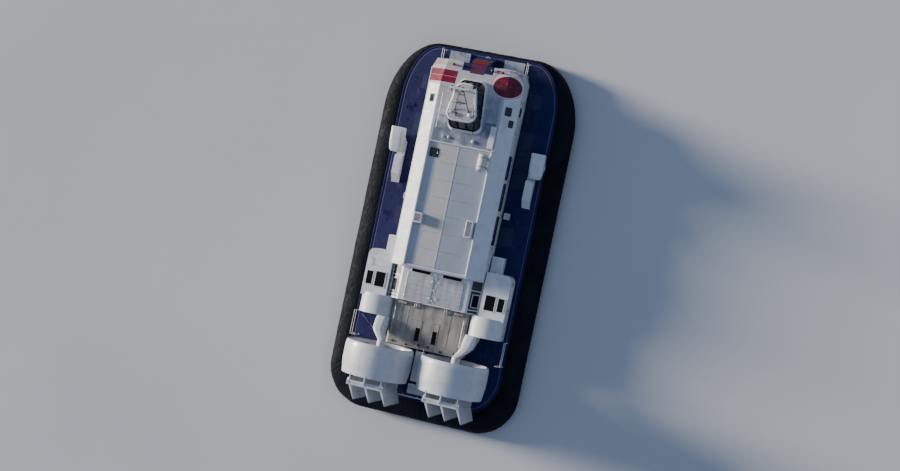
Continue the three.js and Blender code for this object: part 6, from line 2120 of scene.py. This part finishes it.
def leaning(place, lean):
    """From a back cushion's own axes (across, up its face, out of it) to its place, leaning back."""
    up = Vector((0, math.sin(lean), math.cos(lean)))
    out = Vector((0, -math.cos(lean), math.sin(lean)))
    return Matrix.Translation(place) @ Matrix((Vector((1, 0, 0)), up, out)).transposed().to_4x4()


ROWS = [-7.2 + 0.85 * row for row in range(11)]  # Y of each row's front edge
SEAT_WIDTH = 2.05 / 4
SEAT_HALF = (0.243, 0.198, 0.046)
BACK_HALF = (0.243, 0.30, 0.042)
BACK_LEAN = math.atan2(0.1, 0.65)


def seat_places(sign):
    """Where the middle of each seat's front edge stands on the floor."""
    return [(sign * (0.45 + SEAT_WIDTH * (k + 0.5)), y) for y in ROWS for k in range(4)]


def back_place(x, y):
    return leaning((x, y + 0.42, DECK + 0.725), BACK_LEAN)


def lap_belt(shape, x, y):
    """A belt laid over the seat cushion, with its buckle."""
    rise = [(0.238, 0.36), (0.225, 0.395), (0.16, 0.415), (0.07, 0.422)]
    run = [(-a, b) for a, b in rise] + rise[::-1]
    section = ((-0.022, 0), (0.022, 0), (0.022, 0.003), (-0.022, 0.003))
    shape.loft([[(x + across, y + a, DECK + up + b) for a, b in section] for across, up in run], 2)
    shape.block((x - 0.03, y - 0.028, DECK + 0.42), (x + 0.035, y + 0.028, DECK + 0.434), 0, 0.004)


def seat_frames(sign):
    """Rails, legs, pans, back shells, arm rests and belts of the seats on one side."""
    shape = Shape()
    for x in (sign * 0.7, sign * 2.2):
        shape.block((x - 0.038, -7.2, DECK + 0.001), (x + 0.038, 1.82, DECK + 0.04))
        for y in ROWS:
            for leg_y in (y + 0.06, y + 0.36):
                shape.block((x - 0.018, leg_y - 0.02, DECK + 0.03), (x + 0.018, leg_y + 0.02, DECK + 0.31))
            shape.block((x - 0.015, y + 0.05, DECK + 0.12), (x + 0.015, y + 0.37, DECK + 0.15))
    inner, outer = width(sign, 0.455, 2.495)
    for y in ROWS:
        shape.block((inner, y + 0.02, DECK + 0.295), (outer, y + 0.42, DECK + 0.325), 0, 0.01)
    back = Shape()
    back.prism(rounded((-0.238, -0.3), (0.238, 0.315), 0.06, 0, 3), 2, -0.052, -0.035, 1)
    back.block((-0.17, -0.02, -0.06), (0.17, 0.2, -0.05), 1)
    for x, y in seat_places(sign):
        shape.take(back, back_place(x, y))
        lap_belt(shape, x, y + 0.27)
    for y, k in itertools.product(ROWS, range(5)):
        x = max(inner + 0.018, min(outer - 0.018, sign * (0.457 + (2.036 / 4) * k)))
        shape.block((x - 0.018, y + 0.1, DECK + 0.56), (x + 0.018, y + 0.39, DECK + 0.59), 1, 0.01)
        shape.block((x - 0.01, y + 0.3, DECK + 0.33), (x + 0.01, y + 0.34, DECK + 0.57), 0, 0.004)
    return shape


seat_form = cushion(SEAT_HALF, 0.032, 7, 0.012)
back_form = cushion(BACK_HALF, 0.03, 7, 0.012)
seat_edge = welt(SEAT_HALF, 0.02, 0.03)
back_edge = welt(BACK_HALF, 0.02, 0.026)
for name, sign in SIDES:
    seats, backs, edges = Shape(), Shape(), Shape()
    for x, y in seat_places(sign):
        under, behind = moved(x, y + 0.215, DECK + 0.36), back_place(x, y)
        seats.take(seat_form, under)
        backs.take(back_form, behind)
        edges.take(seat_edge, under)
        edges.take(back_edge, behind)
    node = f"seats_{name}"
    for kind, shape in (("cushions", seats), ("backs", backs)):
        soft = piece(f"seat_{kind}_{name}", shape, [CLOTH], replaces=[node], crease=80)
    piece(f"seat_piping_{name}", edges, [HELM_CLOTH])
    piece(f"seat_frames_{name}", seat_frames(sign), [ALLOY, BLACK, HELM_CLOTH], replaces=[node])


# Helm

HELM_FLOOR = 3.6
HELM_SEATS = (-0.33, 0.33)
HELM_SEAT_HALF = (0.205, 0.2, 0.045)
HELM_BACK_HALF = (0.2, 0.27, 0.042)
HELM_LEAN = math.radians(4)
DESK = [  # place along, height over the floor
    (-8.89, 0.03), (-8.89, 0.62), (-8.86, 0.648), (-8.80, 0.64), (-8.47, 0.50), (-8.452, 0.475), (-8.47, 0.44),
    (-8.56, 0.41), (-8.58, 0.03),
]
SEAT_STAND = [
    (0, 0), (0.17, 0), (0.165, 0.015), (0.06, 0.02), (0.05, 0.03), (0.05, 0.2), (0.042, 0.21), (0.042, 0.35),
    (0, 0.35),
]


def helm_back_place(x):
    return leaning((x, -7.725, HELM_FLOOR + 0.77), HELM_LEAN)


def console(shape):
    """The mat, and the desk with screens and dials on its face, two wheels and four levers."""
    floor = HELM_FLOOR
    shape.block((-0.615, -8.89, floor + 0.001), (0.615, -7.31, floor + 0.028), 0, 0.004)
    shape.prism([(y, floor + z) for y, z in DESK], 0, -0.61, 0.61, 1)
    face = Vector((0, 0.33, -0.14)).normalized()
    away = Vector((0, 0.14, 0.33)).normalized()
    middle = Vector((0, -8.635, floor + 0.571))

    def panel(a, b, h):
        return middle + Vector((a, 0, 0)) + face * b + away * h

    bezel = [(0, -0.002), (0, 0.008), (0.012, 0.008), (0.014, -0.002)]
    for x in (-0.42, -0.14, 0.14, 0.42):
        rim(shape, (x - 0.11, -0.13), (x + 0.11, 0.03), panel, bezel, 1, 0.012)
        plate(shape, (x - 0.108, -0.128), (x + 0.108, 0.028), panel, 0.003, 4, 0.012)
        for dx in (-0.08, -0.04, 0, 0.04, 0.08):
            shape.knob(panel(x + dx, 0.065, 0), 0.011, (0.009, 0.008), 0.009, away, 2, 10)
    hub_z = floor + 0.58
    for x in HELM_SEATS:
        wheel = [
            (x + 0.11 * math.cos(t), -8.4 + 0.02 * math.sin(t), hub_z + 0.105 * math.sin(t))
            for t in circle(24)]
        shape.tube(wheel, 0.011, 3, 8, loop=True)
        shape.tube([(x, -8.46, floor + 0.5), (x, -8.41, floor + 0.575)], 0.018, 1, 10)
        for turn in (90, 210, 330):
            angle = math.radians(turn)
            spoke_end = (x + 0.108 * math.cos(angle), -8.4, hub_z + 0.103 * math.sin(angle))
            shape.tube([(x, -8.405, floor + 0.578), spoke_end], 0.007, 2, 6)
    for x in (-0.06, -0.02, 0.02, 0.06):
        foot = panel(x, 0.13, 0)
        shape.tube([foot, foot + Vector((0, 0, 0.09))], 0.005, 2, 6)
        grip = [(0, 0), (0.013, 0.004), (0.014, 0.02), (0, 0.03)]
        shape.lathe(grip, foot + Vector((0, 0, 0.085)), UP, 3, 12)


def helm_furniture():
    """The console, and a stand, pan, back shell and arm rests for each of the two helm seats."""
    shape = Shape()
    console(shape)
    floor = HELM_FLOOR
    back = Shape()
    back.prism(rounded((-0.198, -0.3), (0.198, 0.27), 0.06, 0, 4), 2, -0.046, -0.034, 3)
    for x in HELM_SEATS:
        shape.lathe(SEAT_STAND, (x, -7.905, floor + 0.028), UP, 2, 24)
        shape.block((x - 0.2, -8.11, floor + 0.365), (x + 0.2, -7.7, floor + 0.392), 3, 0.01)
        shape.take(back, helm_back_place(x))
        for side in (-1, 1):
            post_x, rest_x = x + side * 0.212, x + side * 0.205
            shape.block((post_x - 0.007, -8.0, floor + 0.38), (post_x + 0.007, -7.74, floor + 0.6), 2, 0.003)
            shape.block((rest_x - 0.014, -8.08, floor + 0.6), (rest_x + 0.014, -7.74, floor + 0.625), 3, 0.01)
    return shape


helm_seat = cushion(HELM_SEAT_HALF, 0.035, 9, 0.014, smooth=True)
helm_back = cushion(HELM_BACK_HALF, 0.032, 9, 0.014, smooth=True)
helm_seats, helm_backs, helm_edges = Shape(), Shape(), Shape()
for x in HELM_SEATS:
    under = moved(x, -7.915, HELM_FLOOR + 0.44)
    helm_seats.take(helm_seat, under)
    helm_backs.take(helm_back, helm_back_place(x))
    helm_edges.take(welt(HELM_SEAT_HALF, 0.022, 0.022, -0.008), under)
    helm_edges.take(welt(HELM_BACK_HALF, 0.022, 0.019, -0.009), helm_back_place(x))
STATION = ["pilot_station"]
for kind, shape in (("cushions", helm_seats), ("backs", helm_backs)):
    soft = piece(f"helm_seat_{kind}", shape, [HELM_CLOTH], replaces=STATION, crease=80)
piece("helm_seat_piping", helm_edges, [HELM_CLOTH])
finishes = [FLOORING, BLACK, ALLOY, BLACK, DARK_GLASS]
piece("helm_console", helm_furniture(), finishes, replaces=STATION)


# Floor, light and camera

FLOOR_RINGS = ((0.01, 0), (60, 0), (150, 0), (240, 8))  # radius, height
FLOOR_SUNK = 0.002
CAMERA_PLACE = (-22.3, -0.65, 95.0)
CAMERA_TARGET = (0.0, 0.0, 1.5)
CAMERA_UP = (0.211, -0.977, 0.0)
CAMERA_LENS = 62.0
SUN_FROM = (0.96, -0.12, 0.22)
SUN_STRENGTH = 7.6
SKY_STRENGTH = 0.44


def make_stage():
    """A plain pale floor that curves up far away on every side."""
    shape = Shape()
    shape.loft([
        [(radius * math.cos(t), radius * math.sin(t), height - FLOOR_SUNK) for t in circle(96)]
        for radius, height in FLOOR_RINGS], caps=False)
    mesh = bpy.data.meshes.new("floor")
    mesh.from_pydata(shape.points, [], shape.faces)
    pale = Finish("pale_floor", 0.85)
    mesh.materials.append(pale.done(pale.mix(pale.clouds(0.05), (0.60, 0.61, 0.62), (0.57, 0.58, 0.59))))
    floor = bpy.data.objects.new("floor", mesh)
    bpy.context.scene.collection.objects.link(floor)


def make_light():
    """A low warm sun and a soft blue sky."""
    world = bpy.data.worlds.new("soft_sky")
    bpy.context.scene.world = world
    world.use_nodes = True
    world.node_tree.nodes["Background"].inputs["Color"].default_value = (0.50, 0.66, 1.0, 1)
    world.node_tree.nodes["Background"].inputs["Strength"].default_value = SKY_STRENGTH
    sun = bpy.data.lights.new("low_sun", "SUN")
    sun.energy = SUN_STRENGTH
    sun.angle = math.radians(12)
    sun.color = (1.0, 0.90, 0.78)
    lamp = bpy.data.objects.new("low_sun", sun)
    bpy.context.scene.collection.objects.link(lamp)
    lamp.rotation_euler = Vector(SUN_FROM).to_track_quat("Z", "Y").to_euler()


def make_camera():
    """High above, a little to starboard, with the bow towards the top left of the frame."""
    lens = bpy.data.cameras.new("camera")
    lens.sensor_width = 36
    lens.lens = CAMERA_LENS
    lens.clip_end = 500
    camera = bpy.data.objects.new("camera", lens)
    bpy.context.scene.collection.objects.link(camera)
    place, target, up = Vector(CAMERA_PLACE), Vector(CAMERA_TARGET), Vector(CAMERA_UP)
    back = (place - target).normalized()
    right = up.cross(back).normalized()
    turn = Matrix((right, back.cross(right), back)).transposed()
    camera.matrix_world = Matrix.Translation(place) @ turn.to_4x4()
    bpy.context.scene.camera = camera


make_stage()
make_light()
make_camera()
